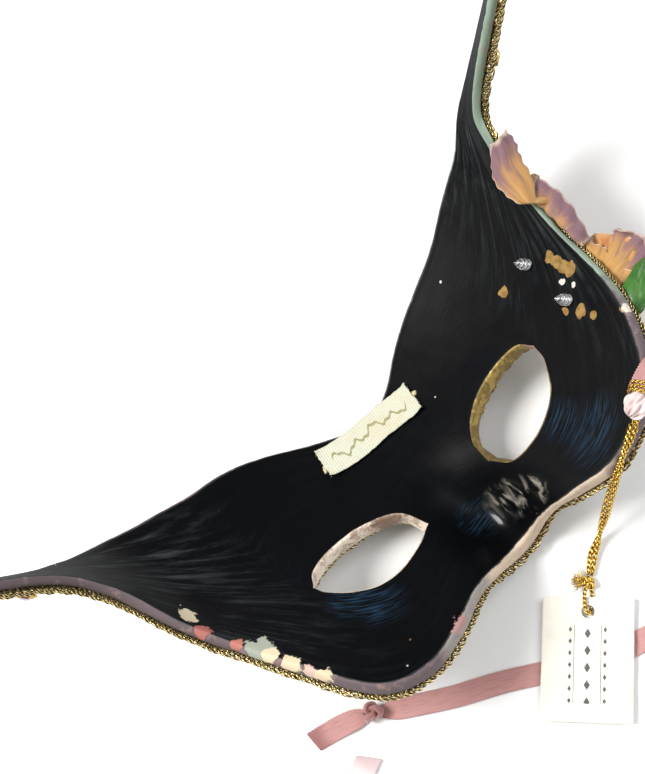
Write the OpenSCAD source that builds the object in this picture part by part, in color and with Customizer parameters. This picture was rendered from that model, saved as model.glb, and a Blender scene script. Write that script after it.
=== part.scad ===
// Venetian masquerade half mask with swept wings, lying face down as it is put away.
// +X runs to the wearer's right wing, +Y to the forehead, +Z to the hollow inside.
// The mask rests on the tip of its nose and on two flat brow stones, at Z = 0.

/* [Shell] */
// Wall thickness of the moulded shell between the eyes
shell_t = 5.5; // [4:0.1:6]
// How much thinner the wall is on the wings
wing_thin = 2.3; // [0:0.1:2.5]
// Height of the inside face between the eyes
bridge_z = 16.86; // [16.8:0.01:17.5]
// How far the inside of the nose drops below the face
nose_depth = 19; // [14:0.5:19.5]
// Half width of the nose ridge
nose_half_w = 13; // [10:0.5:16]
// Rise of the face from the forehead down to the cheeks
face_slope = 0.30; // [0.2:0.01:0.34]
// How strongly the forehead curls back
brow_curl = 0.004; // [0.0038:0.0001:0.0045]
// Rise of a wing for each millimetre outwards
wing_rise = 0.95; // [0.7:0.01:1.1]
// Twist that turns a wing's front towards the chin
wing_twist = 1.7; // [0:0.05:1.8]

/* [Eye holes] */
// Distance from the middle of the mask to the middle of an eye
eye_x = 32.2; // [30:0.1:35]
// Length of an eye hole, as a share of the drawn one
eye_long = 1; // [0.9:0.01:1.05]
// Height of an eye hole, as a share of the drawn one
eye_tall = 1; // [0.9:0.01:1.1]

/* [Trims] */
// Width of the gold gimp braid
braid_w = 3.2; // [2:0.1:4]
// Height of the gold gimp braid
braid_h = 1.6; // [1:0.1:2]
// Radius of a brow stone
brow_gem_r = 3.5; // [2.5:0.1:4]
// Radius of a wing stone
wing_gem_r = 3; // [2:0.1:4]

/* [Flowers] */
// Reach of the outer petals from the middle of a flower
petal_r = 23; // [18:0.5:24]
// Reach of the inner petals
crown_r = 14; // [10:0.5:16]
// Radius of the two mounting screws
screw_r = 1.5; // [1.2:0.1:1.8]

/* [Label and ribbons] */
// Length of the sewn label
label_len = 38; // [30:1:40]
// Width of the sewn label
label_w = 12; // [8:1:14]
// Width of a tie ribbon
ribbon_w = 9; // [6:0.5:10]
// Thickness of a tie ribbon's solid
ribbon_t = 0.8; // [0.6:0.1:0.9]

/* [Swing tag] */
// Width of the card
tag_w = 28; // [24:1:30]
// Height of the card
tag_h = 38; // [34:1:42]
// Thickness of the card
tag_t = 0.5; // [0.4:0.1:0.8]
// Radius of the punched hole
tag_hole_r = 2; // [1.5:0.1:2.5]
// Diameter of the twisted gold cord
cord_d = 1.2; // [0.8:0.1:1.4]

/* [Hidden] */

seat_y = 11.7;          // moves the middle of the mask's outline onto the origin
gap = 0.3;              // clearance between a trim and the shell
eye_u = [2, 5];         // outline parameters beside an eye's inner and outer corner
eye_y = -1.8;           // middle of an eye hole

// Outlines of the right half and of the hand-cut left half, both drawn to the right.
// Upper outline, from the middle of the forehead to the wing's tip.
upper_edge = [[[0, 37.8], [10, 40.4], [20, 45.9], [30, 50.7], [42, 54.1], [55, 56.9],
        [69, 61.2], [82, 64.2], [93, 68.6], [105, 68.3], [126, 63.5]],
    [[0, 37.8], [10, 42], [21, 49], [33, 57.2], [46, 62.3], [60, 63.2],
        [73, 64.2], [88, 64.7], [98, 61.7], [107, 58.6], [126, 57.5]]];
// Lower outline, from under the nose round the cheek to the wing's tip.
lower_edge = [[[0, -31], [9.5, -33], [20, -38.8], [33.5, -44], [46, -43], [58.5, -37.3],
        [73, -16], [80.5, 18.7], [88, 49.4], [97, 61.8], [124, 57.5]],
    [[0, -31], [9.5, -33.2], [20, -36], [32, -40.6], [46, -43.3], [59.5, -37],
        [72.4, -13], [84.6, 17.3], [92.2, 42.3], [102, 53], [124, 50.5]]];
// Upper and lower outline of each eye hole, from its outer corner to its inner one.
eye_upper = [[[49.6, 3], [46, 8], [38, 10.2], [28.5, 9.6], [19.5, 5.6], [14, -1], [13.2, -7]],
    [[52.8, 5], [48.5, 9.4], [41, 11.4], [32, 10.8], [23.5, 7.5], [17.3, 2.6], [14, -6]]];
eye_lower = [[[49.6, 3], [46.9, -3.6], [41, -11.2], [33, -15.2], [24.5, -16.3], [17.5, -14.2], [13.2, -7]],
    [[52.8, 5], [50.3, 0.6], [45.5, -5], [38.8, -9.8], [31, -11.2], [22.4, -9.6], [14, -6]]];

// Routes hold x, y, z and the ribbon's tilt from flat, in degrees.
ribbon_right_route = [[54, -39, 43.5, 25], [62, -37, 43, 15], [71, -36, 37, 5], [79, -37, 26, 0],
    [86, -40, 14, 0], [94, -45, 5.5, 30], [103, -54, 4.8, 80], [109, -66, 4.8, 90],
    [109, -79, 4.8, 90], [102, -91, 4.8, 90], [90, -99, 4.8, 90], [76, -101, 4.8, 85],
    [60, -98, 3.9, 50], [44, -91, 1.9, 15], [28, -85, 0.6, 0], [12, -80, 0.6, 0],
    [-4, -74, 0.6, 0], [-20, -64, 0.6, 0], [-35, -53, 0.6, 0], [-49, -44, 0.7, 0],
    [-61, -35, 0.9, 0], [-70, -28, 1.2, 0], [-79, -23, 0.8, 0], [-90, -19, 0.6, 0]];
ribbon_left_route = [[-66, 10, 20, 0], [-63, 19, 11, 0], [-57, 27, 4, 0], [-47, 32, 1, 0],
    [-34, 34, 0.6, 0], [-18, 34, 0.6, 0], [0, 34, 0.6, 0], [18, 34, 0.6, 0], [34, 33, 0.6, 0],
    [50, 30, 0.6, 0], [66, 25, 0.6, 0], [81, 17, 0.6, 0], [95, 7, 2.3, 20],
    [108, -6, 4.2, 55], [118, -22, 4.8, 85], [124, -40, 4.8, 90], [125, -59, 4.8, 90],
    [121, -78, 4.8, 90], [112, -96, 4.8, 90], [98, -111, 4.8, 90], [79, -121, 4.8, 90],
    [57, -126, 4.8, 90], [34, -128, 4.8, 90], [11, -127, 4.8, 90], [-12, -123, 4.8, 90],
    [-34, -115, 4.8, 90], [-54, -104, 4.8, 90], [-72, -91, 4.8, 90], [-86, -76, 4.8, 80],
    [-94, -61, 4.3, 55], [-96, -48, 3, 30], [-91, -40, 1.5, 10], [-81, -36, 0.7, 0]];
cord_route = [[45.5, -43.5, 40.5, 0], [41, -44.8, 38.6, 0], [36, -45.6, 34, 0], [31, -46, 27, 0],
    [26, -46, 18, 0], [22, -46, 10, 0], [18.5, -46.3, 4.5, 0], [15.5, -47, 2.2, 0],
    [12.5, -48, 1.8, 0],
    [9.6, -49.8, 1.8, 0], [6.7, -51.6, 1.8, 0]];
knot_at = [4.6, -52.9, 1.8];     // the cord's knot, where the tag swivels and lifts
tag_turn = -50.7;               // direction of the card's top edge
tag_gap = 4.5;                 // from the knot to the card's top edge
tag_rest_z = 1.3;               // underside of the card, over the lower strand of its loop

// Height of the inside face above the point x, y.
function smooth(t) = let(c = min(max(t, 0), 1)) c * c * (3 - 2 * c);
function sweep_back(x) = x < 100 ? 0.00179 * pow(x, 2.2)
    : 0.00179 * pow(100, 2.2) + wing_rise * (x - 100);
function nose(x, y) = nose_depth * exp(-pow(x / nose_half_w, 2)) / (1 + exp((y + 6) / 6))
    * (1 - 0.16 * smooth((-y - 20) / 12));
function twist(x, y) = wing_twist * smooth((x - 80) / 38) * (y - 64 - 0.2 * (x - 60));
function height(x, y) = bridge_z + sweep_back(abs(x)) - face_slope * y
    + brow_curl * pow(max(y - 15, 0), 2) - nose(x, y) - twist(abs(x), y);
function wall(x) = shell_t - wing_thin * smooth((abs(x) - 45) / 40);
function unit(v) = v / norm(v);
function inward(x, y, d = 0.05) = unit([height(x - d, y) - height(x + d, y),
    height(x, y - d) - height(x, y + d), 2 * d]);
// A point at a depth t under the inside face, towards the front.
function below(q, t) = [q.x, q.y, height(q.x, q.y)] - t * inward(q.x, q.y);

// A smooth curve through points, at a parameter that counts them.
function hermite(a, b, c, d, t) = 0.5 * (2 * b + (c - a) * t
    + (2 * a - 5 * b + 4 * c - d) * t * t + (3 * b - a - 3 * c + d) * t * t * t);
function along(p, u, first) = let(i = min(floor(u), len(p) - 2), t = u - i,
    after = i + 2 < len(p) ? p[i + 2] : 2 * p[i + 1] - p[i])
    hermite(i == 0 ? first : p[i - 1], p[i], p[i + 1], after, t);
function mix(a, b, t) = a + (b - a) * t;
// Outline parameters below 0 are on the left half; an outline is level in the middle.
function half_of(pair, u) = u < 0 ? pair[1] : pair[0];
function to_side(q, u) = [u < 0 ? -q.x : q.x, q.y];
function curve(pair, u) = let(p = half_of(pair, u)) to_side(along(p, abs(u), [-p[1].x, p[1].y]), u);

// The eye hole's upper (side 1) or lower (side -1) outline, at 0 in its outer corner, 1 in its inner.
function eye_point(hand, side, f) = let(p = half_of(side == 1 ? eye_upper : eye_lower, hand),
    q = along(p, f * (len(p) - 1), 2 * p[0] - p[1]), middle = [eye_x, eye_y])
    [middle.x + (q.x - middle.x) * eye_long, middle.y + (q.y - middle.y) * eye_tall];

// The line that runs along the middle of the mask and parts round each eye hole.
function mid_line(u, side) = let(v = abs(u), inner = eye_point(u, 1, 1), outer = eye_point(u, 1, 0),
    q = v < eye_u[0] ? [inner.x * v / eye_u[0], mix(1, inner.y, pow(v / eye_u[0], 2))]
    : v <= eye_u[1] ? eye_point(u, side, (eye_u[1] - v) / (eye_u[1] - eye_u[0]))
    : mix(outer, to_side((curve(lower_edge, u) + curve(upper_edge, u)) / 2, u), smooth((v - eye_u[1]) / 2)))
    to_side(q, u);

// ---- meshes ----

// A closed sheet from two equal grids of points, listed row by row.
module thick_sheet(top, bottom, rows, cols) {
    n = rows * cols;
    function at(side, r, c) = side * n + r * cols + c;
    polyhedron(concat(top, bottom), concat(
        [for (s = [0, 1], r = [0 : rows - 2], c = [0 : cols - 2], k = [0, 1])
            let(a = at(s, r, c), b = at(s, r, c + 1), e = at(s, r + 1, c + 1), f = at(s, r + 1, c),
                tri = k == 0 ? [a, b, e] : [a, e, f])
            s == 0 ? [tri[2], tri[1], tri[0]] : tri],
        [for (r = [0, rows - 1], c = [0 : cols - 2], k = [0, 1])
            let(a = at(0, r, c), b = at(0, r, c + 1), e = at(1, r, c + 1), f = at(1, r, c),
                tri = k == 0 ? [a, b, e] : [a, e, f])
            r == 0 ? tri : [tri[2], tri[1], tri[0]]],
        [for (c = [0, cols - 1], r = [0 : rows - 2], k = [0, 1])
            let(a = at(0, r, c), b = at(0, r + 1, c), e = at(1, r + 1, c), f = at(1, r, c),
                tri = k == 0 ? [a, b, e] : [a, e, f])
            c == 0 ? [tri[2], tri[1], tri[0]] : tri]));
}

// A tube of oval section along points, w wide across the path and h high along the normals.
module tube(path, normals, w, h, sides = 8, closed = false) {
    n = len(path);
    rings = [for (i = [0 : n - 1]) let(
        a = path[closed ? (i + n - 1) % n : max(i - 1, 0)],
        b = path[closed ? (i + 1) % n : min(i + 1, n - 1)],
        t = unit(b - a), s = unit(cross(t, normals[i])), m = cross(s, t))
        for (k = [0 : sides - 1]) path[i] + w / 2 * cos(360 * k / sides) * s
            + h / 2 * sin(360 * k / sides) * m];
    polyhedron(rings, concat(
        [for (i = [0 : closed ? n - 1 : n - 2], k = [0 : sides - 1], half = [0, 1])
            let(j = (i + 1) % n, l = (k + 1) % sides, a = i * sides + k, b = i * sides + l,
                e = j * sides + l, f = j * sides + k)
            half == 0 ? [e, b, a] : [f, e, a]],
        closed ? [] : [[for (k = [0 : sides - 1]) k],
            [for (k = [sides - 1 : -1 : 0]) (n - 1) * sides + k]]));
}

// Points and normals of a route, smoothed, with steps between its points.
function route_at(r, u) = let(n = len(r), i = min(floor(u), n - 2), t = u - i)
    hermite(r[max(i - 1, 0)], r[i], r[i + 1], r[min(i + 2, n - 1)], t);
function route_points(r, steps) = [for (k = [0 : (len(r) - 1) * steps])
    let(p = route_at(r, k / steps)) [p.x, p.y, p.z]];
function route_normals(r, steps) = [for (k = [0 : (len(r) - 1) * steps])
    let(u = k / steps, e = 0.01, a = route_at(r, max(u - e, 0)),
        b = route_at(r, min(u + e, len(r) - 1)), t = unit([b.x - a.x, b.y - a.y, b.z - a.z]),
        s = unit(cross(t, [0, 0, 1])), m = cross(s, t), tilt = route_at(r, u)[3])
    cos(tilt) * m + sin(tilt) * s];

// ---- places ----

module seat() { translate([0, -seat_y, 0]) children(); }

// Stands children on the inside face: local +Z points into the hollow.
module on_inside(x, y) {
    n = inward(x, y);
    translate([x, y, height(x, y)]) rotate([-asin(n.y), atan2(n.x, n.z), 0]) children();
}

// Stands children on the front face, at a clearance: local +Z points away from the wearer.
module on_front(x, y, lift = gap) {
    on_inside(x, y) translate([0, 0, -wall(x) - lift]) rotate([180, 0, 0]) children();
}

// ---- shell ----

columns = concat([for (k = [0 : 7]) k / 4], [for (k = [0 : 13]) 2 + 3 * k / 14],
    [for (k = [0 : 20]) 5 + k / 4]);
half_n = len(columns) - 1;
all_columns = concat([for (k = [half_n : -1 : 1]) -columns[k]], columns);
cols = len(all_columns);
strip_rows = 6;
function is_open(c) = abs(all_columns[c]) > eye_u[0] && abs(all_columns[c]) < eye_u[1];

module shell_body() {
    block = cols * (strip_rows + 1);
    function grid_point(strip, c, r) = let(u = all_columns[c], f = r / strip_rows)
        strip == 0 ? mix(curve(lower_edge, u), mid_line(u, -1), f)
        : mix(mid_line(u, 1), curve(upper_edge, u), f);
    // The two strips share their points along the middle, except round the eyes.
    function id(face, strip, c, r) = face * 2 * block + (strip == 1 && r == 0 && !is_open(c)
        ? c * (strip_rows + 1) + strip_rows : strip * block + c * (strip_rows + 1) + r);
    function quad(a, b, c, d, flip) = flip ? [[c, b, a], [d, c, a]] : [[a, b, c], [a, c, d]];
    function flat(lists) = [for (l = lists) for (x = l) x];
    points = [for (face = [0, 1], strip = [0, 1], c = [0 : cols - 1], r = [0 : strip_rows])
        let(q = grid_point(strip, c, r)) below(q, face * wall(q.x))];
    skins = flat([for (face = [0, 1], strip = [0, 1], c = [0 : cols - 2], r = [0 : strip_rows - 1])
        quad(id(face, strip, c, r), id(face, strip, c, r + 1), id(face, strip, c + 1, r + 1),
            id(face, strip, c + 1, r), face == 1)]);
    rims = flat([for (strip = [0, 1], c = [0 : cols - 2]) let(r = strip * strip_rows)
        quad(id(0, strip, c, r), id(0, strip, c + 1, r), id(1, strip, c + 1, r),
            id(1, strip, c, r), strip == 1)]);
    lids = flat([for (strip = [0, 1], c = [0 : cols - 2]) let(r = (1 - strip) * strip_rows)
        if (is_open(c) || is_open(c + 1))
            quad(id(0, strip, c, r), id(0, strip, c + 1, r), id(1, strip, c + 1, r),
                id(1, strip, c, r), strip == 0)]);
    tips = flat([for (c = [0, cols - 1], strip = [0, 1], r = [0 : strip_rows - 1])
        quad(id(0, strip, c, r), id(0, strip, c, r + 1), id(1, strip, c, r + 1),
            id(1, strip, c, r), c == 0)]);
    polyhedron(points, concat(skins, rims, lids, tips));
}

screw_at = [67, 10.5];      // middle of the two screws
screw_pitch = 21;           // distance between them
screw_proud = 2.6;          // shank that stands out of the inside face
screw_point = 3.5;          // length of the tapered point

module mask_shell() {
    color("#15171a") seat() difference() {
        shell_body();
        on_inside(screw_at.x, screw_at.y) for (s = [-1, 1]) translate([0, s * screw_pitch / 2, -shell_t * 2])
            cylinder(h = shell_t * 3, r = screw_r, $fn = 32);
    }
}

// ---- braids ----

lower_inset = 1.8;      // from the outlines, and from an eye hole, to the middle of a braid
wing_inset = -0.6;      // on the wings the lower braid hangs over the edge
upper_inset = 2.4;
eye_inset = 3.2;
trim_u = 9.88;          // outline parameter where an edge braid ends, at a wing's tip

// Front points of a trim set in from an outline by a distance.
function inset_point(edge, u, d) = let(q = curve(edge, u), m = mid_line(u, 1),
    far = norm(m - q)) q + (m - q) * min(d / far, 0.5);
module braid(flat_points, closed = false) {
    color("#c79a2e") seat() tube([for (q = flat_points) below(q, wall(q.x) + gap + braid_h / 2)],
        [for (q = flat_points) -inward(q.x, q.y)], braid_w, braid_h, 6, closed);
}
edge_us = [for (k = [-38 : 38]) k / 38 * trim_u];
module braid_lower_edge() {
    braid([for (u = edge_us) inset_point(lower_edge, u, mix(lower_inset, wing_inset, smooth(abs(u) - 7.6)))]);
}
module braid_upper_edge() { braid([for (u = edge_us) inset_point(upper_edge, u, upper_inset)]); }
function wing_row(side) = [for (k = [0 : 12]) let(u = side * (7.4 + k * 0.17))
    mix(curve(lower_edge, u), curve(upper_edge, u), 0.5)];
module braid_wing_right() { braid(wing_row(1)); }
module braid_wing_left() { braid(wing_row(-1)); }
function eye_ring(hand) = [for (side = [1, -1], k = [0 : 17]) let(
    q = eye_point(hand, side, side == 1 ? k / 18 : 1 - k / 18))
    to_side(q + eye_inset * unit(q - [eye_x, eye_y]), hand)];
module braid_eye_right() { braid(eye_ring(1), true); }
module braid_eye_left() { braid(eye_ring(-1), true); }

// ---- stones ----

module cup(r, h) {
    rotate_extrude($fn = 32) polygon([[0, 0], [r + 0.5, 0], [r + 0.7, h], [r + 0.3, h],
        [r + 0.1, 0.3], [0, 0.3]]);
}
module stone(r, h) {
    rotate_extrude($fn = 32) polygon([[0, 0.35], [r, 0.35], [r, 0.35 + h * 0.3],
        [r * 0.62, h], [0, h]]);
}
brow_gem_at = [27, 44];
brow_gem_h = 2.7;
module brow_pair() {
    seat() for (s = [-1, 1]) translate([s * brow_gem_at.x, brow_gem_at.y, brow_gem_h])
        rotate([180, 0, 0]) children();
}
module brow_gem_cups() { color("#b98d33") brow_pair() cup(brow_gem_r, brow_gem_h * 0.6); }
module brow_gems() { color("#5b5aa6") brow_pair() stone(brow_gem_r, brow_gem_h); }
wing_gem_at = [[104, 64], [-104, 56.3]];
module wing_pair() {
    seat() for (q = wing_gem_at) on_front(q.x, q.y, gap + braid_h + 0.2) children();
}
module wing_gem_cups() { color("#b98d33") wing_pair() cup(wing_gem_r, 1.3); }
module wing_gems() { color("#5b5aa6") wing_pair() stone(wing_gem_r, 2.4); }

// ---- flowers ----

plate = [9, 30, 2.4];
module on_plate(lift = 0) { on_front(screw_at.x, screw_at.y, gap + lift) children(); }
module flower_plate() {
    color("#6f7f4f") seat() on_plate() difference() {
        linear_extrude(plate.z) offset(2) square([plate.x - 4, plate.y - 4], center = true);
        for (s = [-1, 1]) translate([0, s * screw_pitch / 2, -1])
            cylinder(h = plate.z + 2, r = screw_r, $fn = 32);
    }
}
module flower_screws() {
    shank = plate.z + gap + wall(screw_at.x) + screw_proud;
    color("#c9ccd0") seat() on_plate(plate.z) for (s = [-1, 1]) translate([0, s * screw_pitch / 2, 0]) {
        rotate_extrude($fn = 32) polygon([[0, 1.2], [2.6, 1.2], [2.6, 0], [screw_r, 0], [screw_r, -shank],
            [0.2, -shank - screw_point], [0, -shank - screw_point]]);
    }
}

// A die-cut fabric blank of petals, cupped towards +Z, with a hole for the stem.
module petal_blank(reach, petals, cup_h, hole_r, t = 0.7) {
    spokes = petals * 8 + 1;
    rings = 5;
    function edge_r(a) = reach * (0.66 + 0.34 * pow(abs(cos(a * petals / 2)), 0.7));
    function pt(r, s, z) = let(a = 360 * s / (spokes - 1), f = r / (rings - 1),
        d = mix(hole_r, edge_r(a), f)) [d * cos(a), d * sin(a), cup_h * pow(f, 1.6) + z];
    n = rings * (spokes - 1);
    function at(side, r, s) = side * n + r * (spokes - 1) + s % (spokes - 1);
    points = [for (z = [t, 0], r = [0 : rings - 1], s = [0 : spokes - 2]) pt(r, s, z)];
    polyhedron(points, concat(
        [for (f = [0, 1], r = [0 : rings - 2], s = [0 : spokes - 2], k = [0, 1])
            let(a = at(f, r, s), b = at(f, r, s + 1), c = at(f, r + 1, s + 1), d = at(f, r + 1, s),
                tri = k == 0 ? [a, b, c] : [a, c, d])
            f == 0 ? tri : [tri[2], tri[1], tri[0]]],
        [for (r = [0, rings - 1], s = [0 : spokes - 2], k = [0, 1])
            let(a = at(0, r, s), b = at(0, r, s + 1), c = at(1, r, s + 1), d = at(1, r, s),
                tri = k == 0 ? [a, b, c] : [a, c, d])
            r == 0 ? [tri[2], tri[1], tri[0]] : tri]));
}
upper_flower = [77, 38];
lower_flower = [75, 1];
stem_r = 0.9;
stem_h = 5.2;
module at_flower(place, lift) { seat() on_front(place.x, place.y, lift) children(); }
module flower_petals(place, turn) {
    color("#b98aa0") at_flower(place, stem_h - 1.8) rotate([0, 0, turn])
        petal_blank(petal_r, 5, 1.5, stem_r + 0.1);
}
module flower_crown(place, turn) {
    color("#e0a04a") at_flower(place, stem_h - 0.8) rotate([0, 0, turn])
        petal_blank(crown_r, 5, 3.2, stem_r + 0.1);
}
module flower_centre(place) {
    color("#d8b13a") at_flower(place, stem_h + 0.2) cylinder(h = 2.2, r1 = 2.6, r2 = 1.8, $fn = 24);
}
module flower_stem(place) {
    color("#5f7a3c") at_flower(place, gap) cylinder(h = stem_h - gap, r = stem_r, $fn = 24);
}
module flower_upper_petals() { flower_petals(upper_flower, 10); }
module flower_upper_crown() { flower_crown(upper_flower, 46); }
module flower_upper_centre() { flower_centre(upper_flower); }
module flower_upper_stem() { flower_stem(upper_flower); }
module flower_lower_petals() { flower_petals(lower_flower, -12); }
module flower_lower_crown() { flower_crown(lower_flower, 24); }
module flower_lower_centre() { flower_centre(lower_flower); }
module flower_lower_stem() { flower_stem(lower_flower); }

// A pointed leaf that lies along a direction on the front face.
module leaf(place, turn, size, lift) {
    rows = 9;
    cols_n = 5;
    function lp(r, c, z) = let(f = r / (rows - 1), g = c / (cols_n - 1) * 2 - 1,
        w = size.y / 2 * (0.06 + 0.94 * pow(sin(180 * pow(f, 0.8)), 0.9)))
        [size.x * f, w * g, z + 0.8 * abs(g) + 2 * f * f];
    color("#3f7a2e") seat() on_front(place.x, place.y, lift) rotate([0, 0, turn])
        thick_sheet([for (r = [0 : rows - 1], c = [0 : cols_n - 1]) lp(r, c, 0)],
            [for (r = [0 : rows - 1], c = [0 : cols_n - 1]) lp(r, c, 0.6)], rows, cols_n);
}
module leaf_lower() { leaf([66, -9], 14, [28, 15], 0.9); }
module leaf_upper() { leaf([64, 34], -112, [24, 13], 0.9); }

// ---- label ----

label_at = [-3.5, 33.5];
label_turn = -12;
module label_strip() {
    rows = 13;
    cols_n = 4;
    function lq(r, c) = let(a = label_len * (r / (rows - 1) - 0.5), b = label_w * (c / (cols_n - 1) - 0.5))
        [label_at.x + a * cos(label_turn) - b * sin(label_turn),
         label_at.y + a * sin(label_turn) + b * cos(label_turn)];
    function raised(h) = [for (r = [0 : rows - 1], c = [0 : cols_n - 1]) below(lq(r, c), -h)];
    color("#e9e2c8") seat() thick_sheet(raised(gap), raised(gap + 0.5), rows, cols_n);
}
module label_glue() {
    color("#d9c98a") seat() for (s = [-1, 1])
        let(q = label_at + s * (label_len / 2 + 1.8) * [cos(label_turn), sin(label_turn)])
            on_inside(q.x, q.y) cylinder(h = 0.9, r1 = 1.2, r2 = 0.7, $fn = 24);
}

// ---- ribbons ----

module ribbon(route) {
    color("#c48d8c") seat() tube(route_points(route, 2), route_normals(route, 2), ribbon_w, ribbon_t, 8);
}
puff_at = [50.5, -41, 43.4];
module ribbon_right_puff() { color("#e6cfcf") seat() translate(puff_at) sphere(4, $fn = 32); }
module ribbon_right() { ribbon(ribbon_right_route); }
module ribbon_right_knot() { color("#b87a78") seat() translate([-70, -28, 3.1]) sphere(3, $fn = 32); }
module ribbon_left() { ribbon(ribbon_left_route); }
module ribbon_left_anchor() {
    color("#c48d8c") seat() on_front(-66, 8) cylinder(h = 1.6, r = 5.5, $fn = 32);
}

// ---- swing tag ----

module tag_cord() {
    points = route_points(cord_route, 3);
    normals = route_normals(cord_route, 3);
    color("#c9982a") seat() for (s = [-1, 1]) {
        strand = [for (i = [0 : len(points) - 1]) let(
            t = unit(points[min(i + 1, len(points) - 1)] - points[max(i - 1, 0)]),
            side = unit(cross(t, normals[i]))) points[i] + s * (cord_d / 2 + 0.1) * side];
        tube(strand, normals, cord_d, cord_d, 8);
    }
}
module tag_cord_hitch() {
    color("#c9982a") seat() translate([54.4, -39.2, 43.4]) rotate([0, 90, 22])
        rotate_extrude($fn = 32) translate([3.2, 0]) circle(cord_d / 2, $fn = 16);
}
module tag_knot() { color("#c9982a") seat() translate(knot_at) sphere(1.7, $fn = 24); }
module tag_tuft() {
    color("#d8a93a") seat() translate(knot_at) rotate([0, 0, tag_turn + 150]) translate([1.9, 0, 0])
        rotate([0, 90, 0]) cylinder(h = 4, r1 = 0.6, r2 = 1.4, $fn = 16);
}
// Local frame of the tag: +X along the top edge, -Y down the card, origin at the knot.
module tag_frame() { seat() translate([knot_at.x, knot_at.y, 0]) rotate([0, 0, tag_turn]) children(); }
hole_in = 4.5;
module tag_loop() {
    start = 2.1;
    far = tag_gap + hole_in;
    high = tag_rest_z + tag_t + cord_d / 2 + 0.1;
    low = cord_d / 2 + 0.05;
    route = [[0, -start, knot_at.z + 0.2], [0, -(start + tag_gap) / 2, high], [0, -far + 1, high],
        [0, -far - 0.4, (high + low) / 2], [0, -far + 0.6, low], [0, -(start + tag_gap) / 2, low],
        [0, -start, knot_at.z - 0.6]];
    n = len(route);
    path = [for (k = [0 : (n - 1) * 4]) let(u = k / 4, i = min(floor(u), n - 2))
        hermite(route[max(i - 1, 0)], route[i], route[i + 1], route[min(i + 2, n - 1)], u - i)];
    color("#c9982a") tag_frame() tube(path, [for (p = path) [1, 0, 0]], cord_d * 0.8, cord_d * 0.8, 8);
}
module tag_card() {
    color("#efe9d6") tag_frame() translate([0, -tag_gap - tag_h / 2, tag_rest_z]) difference() {
        linear_extrude(tag_t) square([tag_w, tag_h], center = true);
        translate([0, tag_h / 2 - hole_in, -1]) cylinder(h = tag_t + 2, r = tag_hole_r, $fn = 32);
    }
}

mask_shell();
braid_lower_edge();
braid_upper_edge();
braid_wing_right();
braid_wing_left();
braid_eye_right();
braid_eye_left();
brow_gem_cups();
brow_gems();
wing_gem_cups();
wing_gems();
flower_plate();
flower_screws();
flower_upper_petals();
flower_upper_crown();
flower_upper_centre();
flower_upper_stem();
flower_lower_petals();
flower_lower_crown();
flower_lower_centre();
flower_lower_stem();
leaf_lower();
leaf_upper();
label_strip();
label_glue();
ribbon_right_puff();
ribbon_right();
ribbon_right_knot();
ribbon_left_anchor();
ribbon_left();
tag_cord();
tag_cord_hitch();
tag_knot();
tag_tuft();
tag_loop();
tag_card();
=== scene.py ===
"""Venetian masquerade mask, lying face down: the looks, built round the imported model.

Sizes are millimetres in the shell's own design axes (x to the wearer's right, y to the forehead,
z into the hollow) and become metres in the shared frame when a mesh is made.
"""
import logging
import math
from dataclasses import dataclass
from enum import Enum
from typing import Callable, Sequence

import bmesh
import bpy
import numpy as np
from mathutils import Matrix, Vector


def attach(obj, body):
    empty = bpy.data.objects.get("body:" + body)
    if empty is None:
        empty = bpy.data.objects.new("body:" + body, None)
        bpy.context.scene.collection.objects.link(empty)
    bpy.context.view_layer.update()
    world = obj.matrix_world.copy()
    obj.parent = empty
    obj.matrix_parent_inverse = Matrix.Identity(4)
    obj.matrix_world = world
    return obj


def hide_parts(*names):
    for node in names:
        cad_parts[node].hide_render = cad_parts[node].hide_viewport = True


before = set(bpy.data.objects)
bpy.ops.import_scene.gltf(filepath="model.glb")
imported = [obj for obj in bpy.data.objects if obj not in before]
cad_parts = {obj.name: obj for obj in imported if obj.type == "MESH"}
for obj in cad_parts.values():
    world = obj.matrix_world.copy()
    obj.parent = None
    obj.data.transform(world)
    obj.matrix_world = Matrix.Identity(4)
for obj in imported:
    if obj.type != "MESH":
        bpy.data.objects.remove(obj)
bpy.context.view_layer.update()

MM = 0.001
SEAT_Y = 11.7           # design y of the frame's origin
log = logging.getLogger("mask")

Array = np.ndarray
Material = bpy.types.Material
Thing = bpy.types.Object
Colour = tuple[float, float, float]


# ---------------------------------------------------------------- numbers

def unit(v: Array) -> Array:
    """Scales vectors along the last axis to length 1.

    Args:
        v: Array of vectors.

    Returns:
        The same vectors at unit length.
    """
    return v / np.maximum(np.linalg.norm(v, axis=-1, keepdims=True), 1e-12)


def smooth(t: Array) -> Array:
    """Smoothstep: 3c squared minus 2c cubed, with c clamped to 0..1."""
    c = np.clip(t, 0.0, 1.0)
    return c * c * (3.0 - 2.0 * c)


def turns(count: int) -> Array:
    """Angles that share a full turn evenly."""
    return 2 * np.pi * np.arange(count) / count


def polar(r: Array, a: Array, z: Array) -> Array:
    """Places (r cos a, r sin a, z) of arrays that broadcast together."""
    return np.stack(np.broadcast_arrays(r * np.cos(a), r * np.sin(a), z), axis=-1)


def net(rows: Array, cols: Array) -> tuple[Array, Array]:
    """Both parameters over a grid: the rows' one and the columns' one."""
    return np.meshgrid(rows, cols, indexing="ij")


def pair(a: Array, b: Array) -> Array:
    """Pairs of two arrays that broadcast together, as pattern coordinates."""
    return np.stack(np.broadcast_arrays(a, b), axis=-1)


def trefoil(t: Array) -> Array:
    """Trefoil knot: (sin t + 2 sin 2t, cos t - 2 cos 2t, -sin 3t)."""
    return np.stack([np.sin(t) + 2 * np.sin(2 * t), np.cos(t) - 2 * np.cos(2 * t), -np.sin(3 * t)], axis=-1)


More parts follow.
